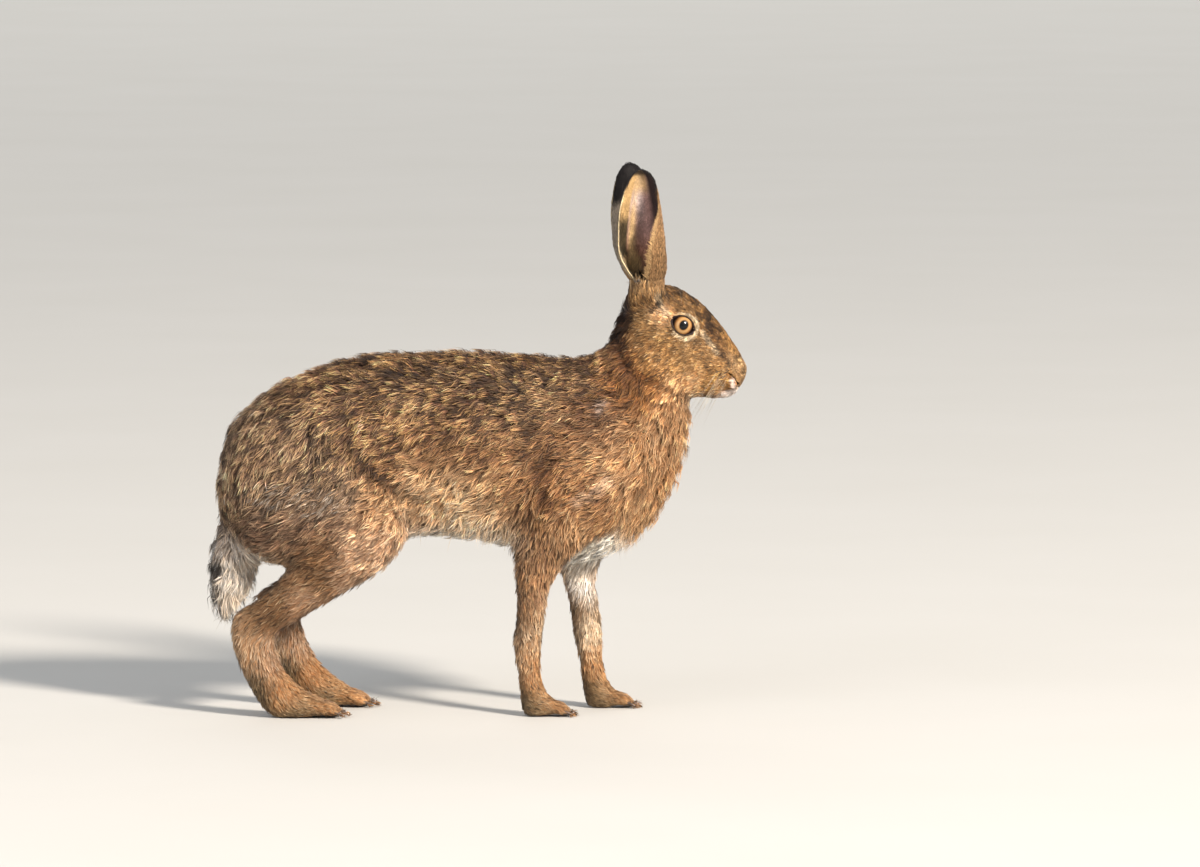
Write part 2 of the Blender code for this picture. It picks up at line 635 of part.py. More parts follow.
def main():
    clear_scene()
    hare, helpers = collection("brown_hare"), collection("cutters", hidden=True)
    torso = fuse("torso", forms(helpers), hare)
    boolean(torso, [slab("ground", FLOOR_CUT, (-90, 90), LEFT, helpers)], "DIFFERENCE")
    print("fused", len(torso.data.polygons))
    finishes = {}
    for side in (RIGHT, LEFT):
        word = SIDE_NAMES[side]
        hind, fore = HIND_STEP[side], FORE_STEP[side]
        cuts = (
            ("hind_foot_" + word, HOCK_CUT, 20, hind[1]),
            ("shank_" + word, KNEE_CUT, 20, tuple(s / 2 for s in hind[1])),
            ("thigh_" + word, limb_outline(HAUNCH.values(), 3, beyond=10), 15, (0, 0)),
            ("forefoot_" + word, WRIST_CUT, 12, fore[2]),
            ("forearm_" + word, ELBOW_CUT, 17, fore[0]),
            ("upper_arm_" + word, limb_outline(SHOULDER.values(), 3, ((0, 0), fore[0]), 24), 15, (0, 0)),
        )
        for name, outline, inner, shift in cuts:
            cutter = slab(name + " cut", outline, (inner, 100), side, helpers, shift)
            part_off(torso, cutter, name, hare, helpers)
    part_off(torso, slab("tail cut", TAIL_CUT, (-21, 21), LEFT, helpers), "tail", hare, helpers)
    head = part_off(torso, slab("head cut", head_cut(), (-80, 80), LEFT, helpers), "head", hare, helpers)
    part_off(torso, slab("neck cut", NECK_CUT, (-80, 80), LEFT, helpers), "neck", hare, helpers)
    carve_face(head, helpers)
    for side in (RIGHT, LEFT):
        hind_x, fore_x = HIND_STEP[side][2][0] - 150, FORE_STEP[side][2][0] + 62
        nails = claws((hind_x, 42), 33, 12.5, side, helpers, 4.2)
        boolean(bpy.data.objects["hind_foot_" + SIDE_NAMES[side]], nails, "UNION")
        nails = claws((fore_x, 34), 21, 9.6, side, helpers, 3.8)
        boolean(bpy.data.objects["forefoot_" + SIDE_NAMES[side]], nails, "UNION")
        leaf = ear(side, hare)
        ear_plane(head, leaf, side, helpers)
        eye(side, hare)
    for obj in hare.objects:
        finish = [FINISHES[key] for key in FINISHES if obj.name.startswith(key)]
        paint(obj, finish[0] if finish else "fur_leg")


main()
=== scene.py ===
# Brown hare, life size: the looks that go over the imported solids.
# Skin, ears, coat, eyes, lids, claws and whiskers, then the floor, the light and the camera.
# Tables and arrays are in millimetres; a mesh is made in metres.
import math

import bmesh
import bpy
import numpy as np
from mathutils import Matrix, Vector
from mathutils.bvhtree import BVHTree
from mathutils.kdtree import KDTree


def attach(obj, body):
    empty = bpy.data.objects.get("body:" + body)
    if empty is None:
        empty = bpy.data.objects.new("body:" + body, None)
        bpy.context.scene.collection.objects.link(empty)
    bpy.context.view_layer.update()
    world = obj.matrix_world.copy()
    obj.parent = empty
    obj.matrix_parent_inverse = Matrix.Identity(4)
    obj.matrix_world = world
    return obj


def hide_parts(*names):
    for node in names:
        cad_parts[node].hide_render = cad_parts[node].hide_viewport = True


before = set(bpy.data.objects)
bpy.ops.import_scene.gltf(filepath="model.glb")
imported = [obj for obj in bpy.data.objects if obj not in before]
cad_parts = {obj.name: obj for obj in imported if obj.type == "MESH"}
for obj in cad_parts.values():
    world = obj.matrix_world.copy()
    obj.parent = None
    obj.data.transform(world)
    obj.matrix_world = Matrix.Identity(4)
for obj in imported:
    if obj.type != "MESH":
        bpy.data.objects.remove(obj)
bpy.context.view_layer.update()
mm = 0.001
sides = {"right": -1, "left": 1}
print("frame loaded", len(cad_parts), "nodes")


def linear(colour):
    # sRGB hex text to linear red, green and blue
    parts = [int(colour[i : i + 2], 16) / 255 for i in (1, 3, 5)]
    return np.array([p / 12.92 if p <= 0.04045 else ((p + 0.055) / 1.055) ** 2.4 for p in parts])


def addNode(tree, kind, settings=None, links=None):
    # settings: node properties or socket values; links: socket -> (node, its output)
    node = tree.nodes.new(kind)
    for key, value in (settings or {}).items():
        if isinstance(key, str) and hasattr(node, key):
            setattr(node, key, value)
        else:
            node.inputs[key].default_value = value
    for key, (source, output) in (links or {}).items():
        tree.links.new(source.outputs[output], node.inputs[key])
    return node


def newMaterial(name, settings):
    # settings: inputs of the Principled shader
    material = bpy.data.materials.new(name)
    material.use_nodes = True
    tree = material.node_tree
    tree.nodes.clear()
    shader = addNode(tree, "ShaderNodeBsdfPrincipled", settings)
    addNode(tree, "ShaderNodeOutputMaterial", links={"Surface": (shader, "BSDF")})
    return material, tree, shader


def paintCoatColours(tree, shader, light, limits, grain, relief):
    # the piece's own colours, made darker and lighter by a pattern, with a fine relief
    tint = addNode(tree, "ShaderNodeAttribute", {"attribute_name": "coatColour"})
    sizes = dict(zip(("From Min", "From Max", "To Min", "To Max"), limits))
    shift = addNode(tree, "ShaderNodeMapRange", sizes, {"Value": light})
    scaled = {0: (tint, "Color"), "Scale": (shift, "Result")}
    mixed = addNode(tree, "ShaderNodeVectorMath", {"operation": "SCALE"}, scaled)
    strength, depth = relief
    bump = addNode(tree, "ShaderNodeBump", {"Strength": strength, "Distance": depth * mm}, {"Height": grain})
    tree.links.new(mixed.outputs["Vector"], shader.inputs["Base Color"])
    tree.links.new(bump.outputs["Normal"], shader.inputs["Normal"])


def unit(rows):
    return rows / np.maximum(np.linalg.norm(rows, axis=1, keepdims=True), 1e-9)


def blendTo(one, two, share):
    return one + (two - one) * share


def ramp(value, low, high):
    # 0 below low, 1 above high, with a soft step between
    t = np.clip((value - low) / (high - low), 0, 1)
    return t * t * (3 - 2 * t)


def softNoise(points, size, seed):
    # smooth random values from -1 to 1 that change over about "size" millimetres
    lattice = np.random.default_rng(seed).uniform(-1, 1, (32, 32, 32))
    cell = np.floor(points / size).astype(int)
    t = points / size - cell
    t = t * t * (3 - 2 * t)
    total = np.zeros(len(points))
    for corner in np.ndindex(2, 2, 2):
        share = np.prod(np.where(corner, t, 1 - t), axis=1)
        i, j, k = ((cell + corner) % 32).T
        total += share * lattice[i, j, k]
    return total


def pathDistance(points, path):
    # distance of each point from a line through the given places, and how far along it lies
    path = np.array(path, float)
    best = np.full(len(points), 1e9)
    along = np.zeros(len(points))
    for k, (a, b) in enumerate(zip(path, path[1:])):
        t = np.clip((points - a) @ (b - a) / ((b - a) @ (b - a)), 0, 1)
        gap = np.linalg.norm(points - a - t[:, None] * (b - a), axis=1)
        nearer = gap < best
        best = np.where(nearer, gap, best)
        along = np.where(nearer, (k + t) / (len(path) - 1), along)
    return best, along


def meshObject(name, points, faces, material, smooth=True):
    # points in millimetres; faces all with the same number of corners
    mesh = bpy.data.meshes.new(name)
    mesh.vertices.add(len(points))
    mesh.vertices.foreach_set("co", (np.asarray(points) * mm).astype(np.float32).ravel())
    mesh.loops.add(faces.size)
    mesh.loops.foreach_set("vertex_index", faces.astype(np.int32).ravel())
    mesh.polygons.add(len(faces))
    mesh.polygons.foreach_set("loop_start", np.arange(len(faces), dtype=np.int32) * faces.shape[1])
    mesh.polygons.foreach_set("use_smooth", np.full(len(faces), smooth))
    mesh.materials.append(material)
    mesh.update(calc_edges=True)
    obj = bpy.data.objects.new(name, mesh)
    bpy.context.scene.collection.objects.link(obj)
    return obj


def searchTree(places, triangles):
    return BVHTree.FromPolygons([Vector(p) for p in places], triangles.tolist())


def ringFaces(rows, around):
    # faces between rings of points that each close on themselves
    index = np.arange(rows * around).reshape(rows, around)
    after = np.roll(index, -1, axis=1)
    return np.stack([index[:-1], index[1:], after[1:], after[:-1]], -1).reshape(-1, 4), index, after


def setColours(obj, name, colours):
    data = np.ones((len(colours), 4), np.float32)
    data[:, :3] = colours
    obj.data.attributes.new(name, "FLOAT_COLOR", "POINT").data.foreach_set("color", data.ravel())


def setCornerMap(obj, name, places):
    layer = obj.data.uv_layers.new(name=name)
    layer.uv.foreach_set("vector", places.astype(np.float32).ravel())


def meshArrays(mesh):
    # places in millimetres, normals, triangles and edges of a Blender mesh
    count = len(mesh.vertices)
    places, normals = np.empty(count * 3, np.float32), np.empty(count * 3, np.float32)
    mesh.vertices.foreach_get("co", places)
    mesh.vertex_normals.foreach_get("vector", normals)
    mesh.calc_loop_triangles()
    triangles = np.empty(len(mesh.loop_triangles) * 3, np.int32)
    mesh.loop_triangles.foreach_get("vertices", triangles)
    edges = np.empty(len(mesh.edges) * 2, np.int32)
    mesh.edges.foreach_get("vertices", edges)
    return (
        places.reshape(-1, 3).astype(float) / mm,
        normals.reshape(-1, 3).astype(float),
        triangles.reshape(-1, 3),
        edges.reshape(-1, 2),
    )


# colours of the coat
# Each hair is banded: the colour at its root, its middle and its tip, then the share of
# tufts that are black-brown and the share that end in cream.
palettes = {
    "agouti": ("#221612", "#96694d", "#ffcd88", 0.38, 0.12),
    "saddle": ("#170d0d", "#77523b", "#ffc47e", 0.46, 0.1),
    "rufous": ("#573828", "#a6744e", "#f2b77a", 0.12, 0.1),
    "arm": ("#503221", "#996843", "#dea66a", 0.12, 0.1),
    "orange": ("#805333", "#c28c5b", "#f6c694", 0.02, 0.1),
    "greyBrown": ("#271c1b", "#8f6e57", "#ffcf9a", 0.3, 0.14),
    "thigh": ("#543e2f", "#8b674e", "#bd9876", 0.08, 0.12),
    "fawn": ("#855f40", "#bf8f6a", "#e4c3a3", 0.02, 0.1),
    "shank": ("#432e1a", "#795332", "#ad855a", 0.1, 0.06),
    "cream": ("#b18f6a", "#efcca6", "#f7e6c8", 0.0, 0.0),
    "white": ("#d2c4b0", "#f0e6d6", "#fdf8ee", 0.0, 0.0),
    "black": ("#0e0a08", "#181210", "#2c221c", 1.0, 0.0),
    "faceOchre": ("#53391d", "#8d6234", "#cea067", 0.08, 0.08),
    "faceDark": ("#392312", "#764f2a", "#c69250", 0.36, 0.06),
    "muzzle": ("#6a4218", "#bb7c38", "#f6c373", 0.14, 0.16),
    "noseTop": ("#513418", "#976a36", "#cb9b5e", 0.16, 0.02),
    "noseTip": ("#694e31", "#a37a4e", "#d8b283", 0.14, 0.06),
    "neck": ("#56351e", "#b77236", "#ffaf59", 0.14, 0.05),
    "shoulder": ("#3d271a", "#714b31", "#be895a", 0.16, 0.08),
    # painted light: the low flank is lighter than its own fur, to undo the shade on this downward face
    "lowFlankPaintedLight": ("#a87e56", "#f2bd88", "#fbe5c0", 0.03, 0.12),
    "jaw": ("#906239", "#e5a469", "#f6cf9f", 0.01, 0.05),
    "nape": ("#170e08", "#553318", "#89572e", 0.42, 0.02),
    "hock": ("#7a5636", "#c9986a", "#f0cfa8", 0.06, 0.04),
    "sole": ("#54402c", "#8d7250", "#b39a72", 0.12, 0.05),
    "paw": ("#7b4b29", "#bd804b", "#e9b882", 0.02, 0.08),
    "fringe": ("#ae855e", "#e8be93", "#fff7e1", 0.01, 0.2),
    "tailGrey": ("#a48c78", "#d8c0aa", "#f4e8d8", 0.05, 0.2),
    "tailWhite": ("#c8b19a", "#ebd8c2", "#fcf1e0", 0.0, 0.0),
    "chin": ("#d8bfae", "#f4e0d2", "#fff1e6", 0.0, 0.0),
}

# Where: x, distance from the midline, z and reach. Then which way the hair lies, its
# length, how high its tip stands for that length, its colours, and the piece it goes in.
coatZones = (
    (96, 18, 314, 20, (-0.96, 0, -0.1), 12, 0.34, "agouti", "back"),
    (55, 22, 313, 24, (-1, 0, -0.05), 13, 0.36, "saddle", "back"),
    (5, 22, 315, 28, (-1, 0, -0.05), 14, 0.36, "saddle", "back"),
    (-50, 22, 314, 28, (-1, 0, -0.08), 14, 0.36, "saddle", "back"),
    (-105, 24, 308, 26, (-0.97, 0, -0.22), 14, 0.36, "saddle", "back"),
    (-155, 28, 292, 26, (-0.86, 0, -0.5), 14, 0.36, "agouti", "back"),
    (-198, 26, 268, 24, (-0.55, 0, -0.83), 14, 0.36, "greyBrown", "back"),
    (-222, 18, 228, 24, (-0.2, 0, -0.98), 14, 0.36, "greyBrown", "back"),
    (-222, 12, 190, 18, (-0.2, 0, -0.98), 13, 0.36, "greyBrown", "back"),
    (45, 50, 275, 22, (-0.95, 0, -0.3), 13, 0.36, "agouti", "back"),
    (0, 52, 275, 24, (-0.96, 0, -0.28), 14, 0.36, "agouti", "back"),
    (-45, 50, 275, 24, (-0.94, 0, -0.34), 14, 0.36, "agouti", "back"),
    (35, 57, 238, 22, (-0.93, 0, -0.37), 13, 0.36, "rufous", "flank"),
    (-5, 57, 235, 24, (-0.9, 0, -0.43), 13, 0.36, "rufous", "flank"),
    (-45, 55, 235, 22, (-0.86, 0, -0.5), 13, 0.36, "rufous", "flank"),
    (28, 54, 196, 20, (-0.8, 0, -0.6), 14, 0.38, "rufous", "flank"),
    # these zones use the lightened palette of the low flank, painted light
    (-8, 54, 192, 20, (-0.72, 0, -0.7), 14, 0.38, "lowFlankPaintedLight", "flank"),
    (-42, 50, 193, 20, (-0.66, 0, -0.75), 14, 0.38, "lowFlankPaintedLight", "flank"),
    (15, 38, 160, 15, (-0.28, 0, -0.96), 19, 0.4, "fringe", "flank"),
    (-18, 38, 160, 15, (-0.26, 0, -0.96), 19, 0.4, "fringe", "flank"),
    (-50, 36, 164, 15, (-0.3, 0, -0.95), 17, 0.4, "orange", "flank"),
    (10, 8, 150, 18, (-0.9, 0, -0.2), 13, 0.3, "white", "flank"),
    (-40, 8, 154, 18, (-0.9, 0, -0.1), 13, 0.3, "white", "flank"),
    (-90, 8, 148, 20, (-0.9, 0, 0), 12, 0.3, "white", "flank"),
    (-118, 46, 280, 22, (-0.86, 0, -0.5), 15, 0.36, "agouti", "haunch"),
    (-88, 56, 245, 18, (-0.8, 0, -0.6), 15, 0.38, "agouti", "haunch"),
    (-120, 60, 243, 18, (-0.6, 0, -0.8), 16, 0.38, "agouti", "haunch"),
    (-155, 58, 245, 20, (-0.6, 0, -0.8), 15, 0.36, "greyBrown", "haunch"),
    (-190, 50, 235, 20, (-0.5, 0, -0.87), 14, 0.36, "greyBrown", "haunch"),
    (-90, 60, 212, 16, (-0.72, 0, -0.7), 14, 0.36, "rufous", "haunch"),
    (-125, 64, 208, 18, (-0.75, 0, -0.66), 14, 0.34, "greyBrown", "haunch"),
    (-165, 58, 205, 20, (-0.75, 0, -0.66), 14, 0.36, "greyBrown", "haunch"),
    (-202, 44, 198, 16, (-0.6, 0, -0.8), 14, 0.4, "greyBrown", "haunch"),
    (-84, 60, 182, 16, (-0.8, 0, -0.6), 12, 0.34, "orange", "haunch"),
    (-120, 64, 178, 18, (-0.93, 0, -0.36), 12, 0.32, "thigh", "haunch"),
    (-165, 58, 172, 16, (-0.97, 0, -0.2), 13, 0.34, "thigh", "haunch"),
    (-195, 46, 168, 14, (-0.95, 0, -0.3), 14, 0.44, "thigh", "haunch"),
    (-76, 60, 152, 13, (-0.75, 0, -0.65), 9, 0.3, "fawn", "haunch"),
    (-100, 62, 148, 14, (-0.9, 0, -0.42), 9, 0.28, "fawn", "haunch"),
    (-140, 60, 148, 14, (-0.93, 0, -0.36), 10, 0.28, "shank", "haunch"),
    (-112, 58, 124, 12, (-0.86, 0, -0.5), 10.6, 0.17, "fawn", "hindLeg"),
    (-138, 56, 122, 12, (-0.88, 0, -0.48), 10.6, 0.17, "shank", "hindLeg"),
    (-150, 54, 100, 11, (-0.85, 0, -0.52), 9.6, 0.16, "fawn", "hindLeg"),
    (-172, 52, 106, 12, (-0.85, 0, -0.52), 9.6, 0.16, "shank", "hindLeg"),
    (-192, 50, 88, 12, (-0.8, 0, -0.6), 9.1, 0.17, "shank", "hindLeg"),
    (-210, 46, 76, 10, (-0.45, 0, -0.9), 9.1, 0.2, "hock", "hindLeg"),
    (-200, 52, 56, 12, (0.05, 0, -1), 9.1, 0.19, "hock", "hindLeg"),
    (-213, 41, 50, 9, (0.05, 0, -1), 9.1, 0.2, "hock", "hindLeg"),
    (-178, 50, 54, 10, (0.15, 0, -0.98), 8.6, 0.16, "fawn", "hindLeg"),
    (-168, 46, 30, 11, (0.5, 0, -0.86), 6.8, 0.21, "paw", "hindLeg"),
    (-198, 44, 24, 11, (0.25, 0, -0.97), 7.3, 0.24, "sole", "hindLeg"),
    (-132, 42, 16, 14, (0.95, 0, -0.3), 5.8, 0.21, "paw", "hindLeg"),
    (-150, 42, 3, 12, (1, 0, 0), 5.8, 0.16, "sole", "hindLeg"),
    (-112, 26, 145, 15, (-0.8, 0, -0.5), 10, 0.28, "cream", "haunch"),
    (-160, 24, 150, 14, (-0.6, 0, -0.7), 10, 0.3, "fringe", "haunch"),
    (-150, 27, 112, 12, (-0.85, 0, -0.52), 9.6, 0.16, "fawn", "hindLeg"),
    (-190, 30, 70, 12, (-0.2, 0, -0.98), 8.6, 0.16, "fawn", "hindLeg"),
    (96, 40, 300, 16, (-0.92, 0, -0.3), 12, 0.36, "agouti", "chest"),
    (82, 50, 270, 18, (-0.92, 0, -0.36), 13, 0.36, "shoulder", "chest"),
    (112, 50, 262, 18, (-0.85, 0, -0.5), 13, 0.36, "shoulder", "chest"),
    (75, 57, 232, 18, (-0.93, 0, -0.3), 13, 0.36, "rufous", "chest"),
    (108, 55, 226, 16, (-0.95, 0, -0.25), 12, 0.34, "orange", "chest"),
    (140, 46, 240, 16, (-0.65, 0, -0.75), 13, 0.38, "orange", "chest"),
    (64, 58, 196, 16, (-0.6, 0, -0.8), 13, 0.36, "arm", "chest"),
    (100, 57, 196, 16, (-0.9, 0, -0.35), 12, 0.34, "arm", "chest"),
    (130, 46, 196, 16, (-0.62, 0, -0.78), 13, 0.38, "orange", "chest"),
    (50, 56, 170, 12, (-0.2, 0, -0.98), 11, 0.34, "arm", "foreLeg"),
    (80, 54, 162, 13, (-0.25, 0, -0.97), 11, 0.34, "orange", "foreLeg"),
    (168, 10, 222, 17, (-0.25, 0, -0.96), 15, 0.42, "orange", "chest"),
    (178, 8, 262, 16, (-0.1, 0, -1), 13, 0.4, "orange", "chest"),
    (150, 14, 178, 16, (-0.5, 0, -0.86), 15, 0.44, "orange", "chest"),
    # pale fur, made whiter as painted light where the chest shades it
    (104, 14, 144, 12.5, (-0.75, 0, -0.6), 13, 0.36, "white", "chest"),
    (60, 10, 142, 16, (-0.95, 0, -0.2), 12, 0.3, "white", "flank"),
    (118, 8, 336, 13, (-0.75, 0, -0.65), 10, 0.36, "nape", "chest"),
    (128, 22, 322, 12, (-0.6, 0, -0.8), 11, 0.36, "nape", "chest"),
    (118, 34, 298, 14, (-0.75, 0, -0.65), 12, 0.36, "neck", "chest"),
    (145, 33, 286, 14, (-0.5, 0, -0.87), 12, 0.36, "neck", "chest"),
    (168, 28, 262, 14, (-0.35, 0, -0.94), 12, 0.38, "orange", "chest"),
    (62, 50, 140, 12, (-0.05, 0, -1), 10.6, 0.17, "arm", "foreLeg"),
    (36, 44, 138, 11, (-0.15, 0, -0.98), 10.6, 0.19, "arm", "foreLeg"),
    (62, 40, 112, 11, (0.02, 0, -1), 9.6, 0.16, "paw", "foreLeg"),
    (44, 48, 108, 12, (0, 0, -1), 9.6, 0.16, "arm", "foreLeg"),
    (34, 36, 82, 11, (-0.15, 0, -0.98), 9.6, 0.2, "shank", "foreLeg"),
    (52, 44, 78, 11, (0, 0, -1), 9.1, 0.16, "hock", "foreLeg"),
    (38, 42, 52, 10, (-0.1, 0, -1), 9.1, 0.19, "hock", "foreLeg"),
    (54, 38, 45, 11, (0.12, 0, -1), 8.6, 0.16, "paw", "foreLeg"),
    (66, 36, 20, 11, (0.75, 0, -0.66), 5.8, 0.21, "paw", "foreLeg"),
    (50, 34, 5, 12, (0.9, 0, -0.2), 5.8, 0.16, "sole", "foreLeg"),
    # pale fur inside the foreleg, made whiter as painted light where the chest shades it
    (58, 24, 142, 13, (0, 0, -1), 10.6, 0.17, "white", "foreLeg"),
    (54, 24, 108, 12, (0, 0, -1), 9.6, 0.16, "white", "foreLeg"),
    (48, 26, 72, 11, (0, 0, -1), 8.6, 0.16, "cream", "foreLeg"),
    (-236, 0, 160, 9, (-0.4, 0, -0.92), 12, 0.42, "black", "tail"),
    (-239, 0, 128, 9, (-0.12, 0, -1), 14, 0.42, "black", "tail"),
    (-237, 0, 102, 8, (0.1, 0, -1), 15, 0.42, "black", "tail"),
    (-222, 16, 150, 11, (-0.1, 0, -1), 13, 0.4, "tailGrey", "tail"),
    (-214, 18, 122, 12, (0.05, 0, -1), 15, 0.44, "tailWhite", "tail"),
    (-197, 6, 135, 12, (0.25, 0, -0.97), 13, 0.42, "tailWhite", "tail"),
    (-205, 8, 104, 12, (0.1, 0, -1), 16, 0.44, "tailWhite", "tail"),
    (-222, 10, 90, 10, (0.05, 0, -1), 17, 0.44, "tailWhite", "tail"),
    (160, 5, 381, 9, (-0.85, 0, 0.5), 6, 0.26, "faceDark", "head"),
    (180, 7, 375, 9, (-0.88, 0, 0.45), 5.5, 0.24, "faceDark", "head"),
    (197, 6, 363, 8, (-0.8, 0, 0.6), 5, 0.22, "faceDark", "head"),
    (209, 6, 349, 8, (-0.74, 0, 0.68), 4.6, 0.2, "faceDark", "head"),
    (220, 5, 335, 7, (-0.66, 0, 0.75), 4.2, 0.2, "noseTop", "head"),
    (229, 4, 321, 6, (-0.6, 0, 0.8), 3.6, 0.2, "noseTop", "head"),
    (235, 2, 308, 5, (-0.5, 0, 0.86), 2.8, 0.2, "noseTip", "head"),
    (231, 8, 304, 5, (-0.8, 0.2, 0.55), 2.8, 0.2, "noseTip", "head"),
    (236, 0, 297, 3.5, (0, 0, 1), 2, 0.2, "noseTip", "head"),
    (222, 11, 308, 6, (-0.9, 0.15, 0.3), 3.6, 0.2, "noseTip", "head"),
    (220, 11, 291, 3.6, (-0.9, 0.1, -0.2), 2.6, 0.22, "muzzle", "head"),
    (229, 5, 287, 4, (-0.9, 0.1, -0.2), 2.6, 0.22, "noseTip", "head"),
    (213, 13, 294, 6, (-0.95, 0.1, -0.22), 4.2, 0.22, "muzzle", "head"),
    (215, 13, 303, 6, (-0.96, 0.1, 0.05), 4.2, 0.22, "muzzle", "head"),
    (211, 16, 314, 6, (-0.97, 0.1, 0.1), 4.4, 0.22, "faceOchre", "head"),
    (203, 16, 288, 6, (-0.92, 0.1, -0.35), 5, 0.24, "muzzle", "head"),
    (202, 19, 302, 7, (-0.95, 0.1, -0.2), 5, 0.22, "faceOchre", "head"),
    (202, 18, 322, 6, (-0.93, 0.1, 0.2), 4.6, 0.2, "faceOchre", "head"),
    (204, 14, 338, 6, (-0.85, 0.1, 0.5), 4.4, 0.2, "faceDark", "head"),
    (188, 24, 312, 9, (-0.95, 0.1, -0.25), 5.4, 0.22, "faceOchre", "head"),
    (190, 20, 292, 8, (-0.93, 0.1, -0.35), 6, 0.24, "jaw", "head"),
    (182, 26, 329, 6, (-0.97, 0.1, -0.1), 4.6, 0.2, "faceOchre", "head"),
    (170, 28, 306, 10, (-0.93, 0.1, -0.35), 6, 0.24, "faceOchre", "head"),
    (172, 22, 288, 8, (-0.9, 0, -0.42), 7, 0.28, "jaw", "head"),
    (220, 3, 281, 4.5, (-0.95, 0, -0.1), 4, 0.24, "chin", "head"),
    (206, 0, 275, 5, (-1, 0, -0.05), 5, 0.24, "chin", "head"),
    (188, 3, 276, 7, (-1, 0, -0.05), 7, 0.28, "cream", "head"),
    (168, 8, 281, 9, (-0.9, 0, -0.4), 9, 0.32, "orange", "head"),
    (163, 28, 330, 8, (-0.95, 0.1, -0.2), 5.4, 0.22, "faceOchre", "head"),
    (150, 27, 312, 9, (-0.85, 0.1, -0.5), 6, 0.26, "faceOchre", "head"),
    (138, 24, 330, 9, (-0.85, 0.1, -0.5), 6.5, 0.28, "faceOchre", "head"),
    (146, 28, 345, 8, (-0.9, 0.1, 0.1), 6, 0.24, "faceOchre", "head"),
    (160, 26, 352, 6, (-0.85, 0.1, 0.4), 5, 0.22, "jaw", "head"),
    (182, 20, 363, 6, (-0.85, 0, 0.5), 4.6, 0.22, "faceOchre", "head"),
    (168, 18, 372, 7, (-0.75, 0, 0.65), 5, 0.24, "faceDark", "head"),
    (158, 22, 366, 5, (-0.5, 0.1, 0.85), 6, 0.26, "faceDark", "head"),
    (163, 16, 384, 6, (-0.25, 0.05, 1), 7, 0.12, "faceDark", "head"),
    (148, 30, 372, 7, (-0.05, -0.1, 1), 8, 0.12, "faceOchre", "head"),
    (134, 26, 368, 7, (0.1, -0.05, 0.97), 8, 0.12, "faceOchre", "head"),
    (128, 12, 364, 7, (0.05, 0, 0.9), 8, 0.16, "nape", "head"),
    (145, 4, 376, 7, (-0.9, 0, 0.3), 6.5, 0.26, "faceDark", "head"),
)
pieceGroups = ("back", "flank", "haunch", "chest", "hindLeg", "foreLeg", "tail", "head")
zonePlace = np.array([zone[:3] for zone in coatZones], float)
zoneReach = np.array([zone[3] for zone in coatZones], float)
zoneLie = unit(np.array([zone[4] for zone in coatZones], float))
zoneSize = np.array([zone[5:7] for zone in coatZones], float)
zonePalette = np.array([np.concatenate([linear(c) for c in palettes[zone[7]][:3]]) for zone in coatZones])
zoneShares = np.array([palettes[zone[7]][3:] for zone in coatZones])
zoneGroup = np.array([pieceGroups.index(zone[8]) for zone in coatZones])


def standardPlace(points):
    # the same spot on the right side, with the left legs' stride taken out
    x, y, z = points.T
    limb = np.clip((y - 8) / 12, 0, 1)
    hind, fore = limb * (x < -20), limb * (x > -20)
    z = z - hind * 11 * np.exp(-(((z - 92) / 35) ** 2))
    x = x - hind * 23 * np.clip((150 - z) / 80, 0, 1)
    x = x - fore * np.interp(z, (60, 90, 165, 210), (56, 54, 24, 0))
    return np.stack([x, np.abs(y), z], 1)


def coatAt(points):
    # lie of the hair, its length and stand, banding colours, tuft shares and nearest group
    places = standardPlace(points)
    parts = []
    for chunk in np.array_split(places, max(len(places) // 8000, 1)):
        gap = ((chunk[:, None, :] - zonePlace[None]) ** 2).sum(2)
        share = np.exp(-gap / (2 * zoneReach**2)) + 1e-5 / (1 + gap / 400) ** 2
        share /= share.sum(1, keepdims=True)
        sharp = share**1.25
        sharp /= sharp.sum(1, keepdims=True)
        colours = sharp @ zonePalette, sharp @ zoneShares
        parts.append((share @ zoneLie, share @ zoneSize, *colours, share.argmax(1)))
    lie, size, bands, shares, nearest = (np.concatenate(part) for part in zip(*parts))
    lie[:, 1] *= np.where(points[:, 1] < 0, -1, 1)
    return {
        "lie": unit(lie),
        "length": size[:, 0],
        "stand": size[:, 1],
        "bands": bands.reshape(-1, 3, 3),
        "shares": shares,
        "group": zoneGroup[nearest],
    }


# the eye's own axes, which the lids, the cream ring and the skin all follow
eyePlan = {
    "centre": (179, 20.4, 342.8),
    "radius": 10.6,
    "cornea": 0.045,  # share of the radius that it stands out over the iris
    "rings": 48,
    "around": 64,
    "axis": (0.17, 0.97, 0.1),
    "slitAngle": 31,  # degrees the slit of the lids runs down towards the nose
    "opening": (9.1, 7.5),  # half length and half height of the visible eye
    "rim": (11.3, 8.75),  # the same, out to the far edge of the dark lids
}


def eyeAxes(side):
    out = Vector((eyePlan["axis"][0], side * eyePlan["axis"][1], eyePlan["axis"][2])).normalized()
    angle = math.radians(eyePlan["slitAngle"])
    slit = Vector((math.cos(angle), 0, -math.sin(angle)))
    slit = (slit - out * slit.dot(out)).normalized()
    up = out.cross(slit) * -side
    centre = eyePlan["centre"]
    return np.array((centre[0], side * centre[1], centre[2])), np.array((slit, up, out))


def eyePlace(points):
    # each point in its own side's eye axes: along the slit, up across it, and outwards
    local = np.empty_like(points)
    for side in sides.values():
        centre, axes = eyeAxes(side)
        mine = (points[:, 1] < 0) == (side < 0)
        local[mine] = (points[mine] - centre) @ axes.T
    return local


def rimShare(local):
    # 1 on the outer edge of the dark lids, more outside them
    return np.hypot(local[:, 0] / eyePlan["rim"][0], local[:, 1] / eyePlan["rim"][1])


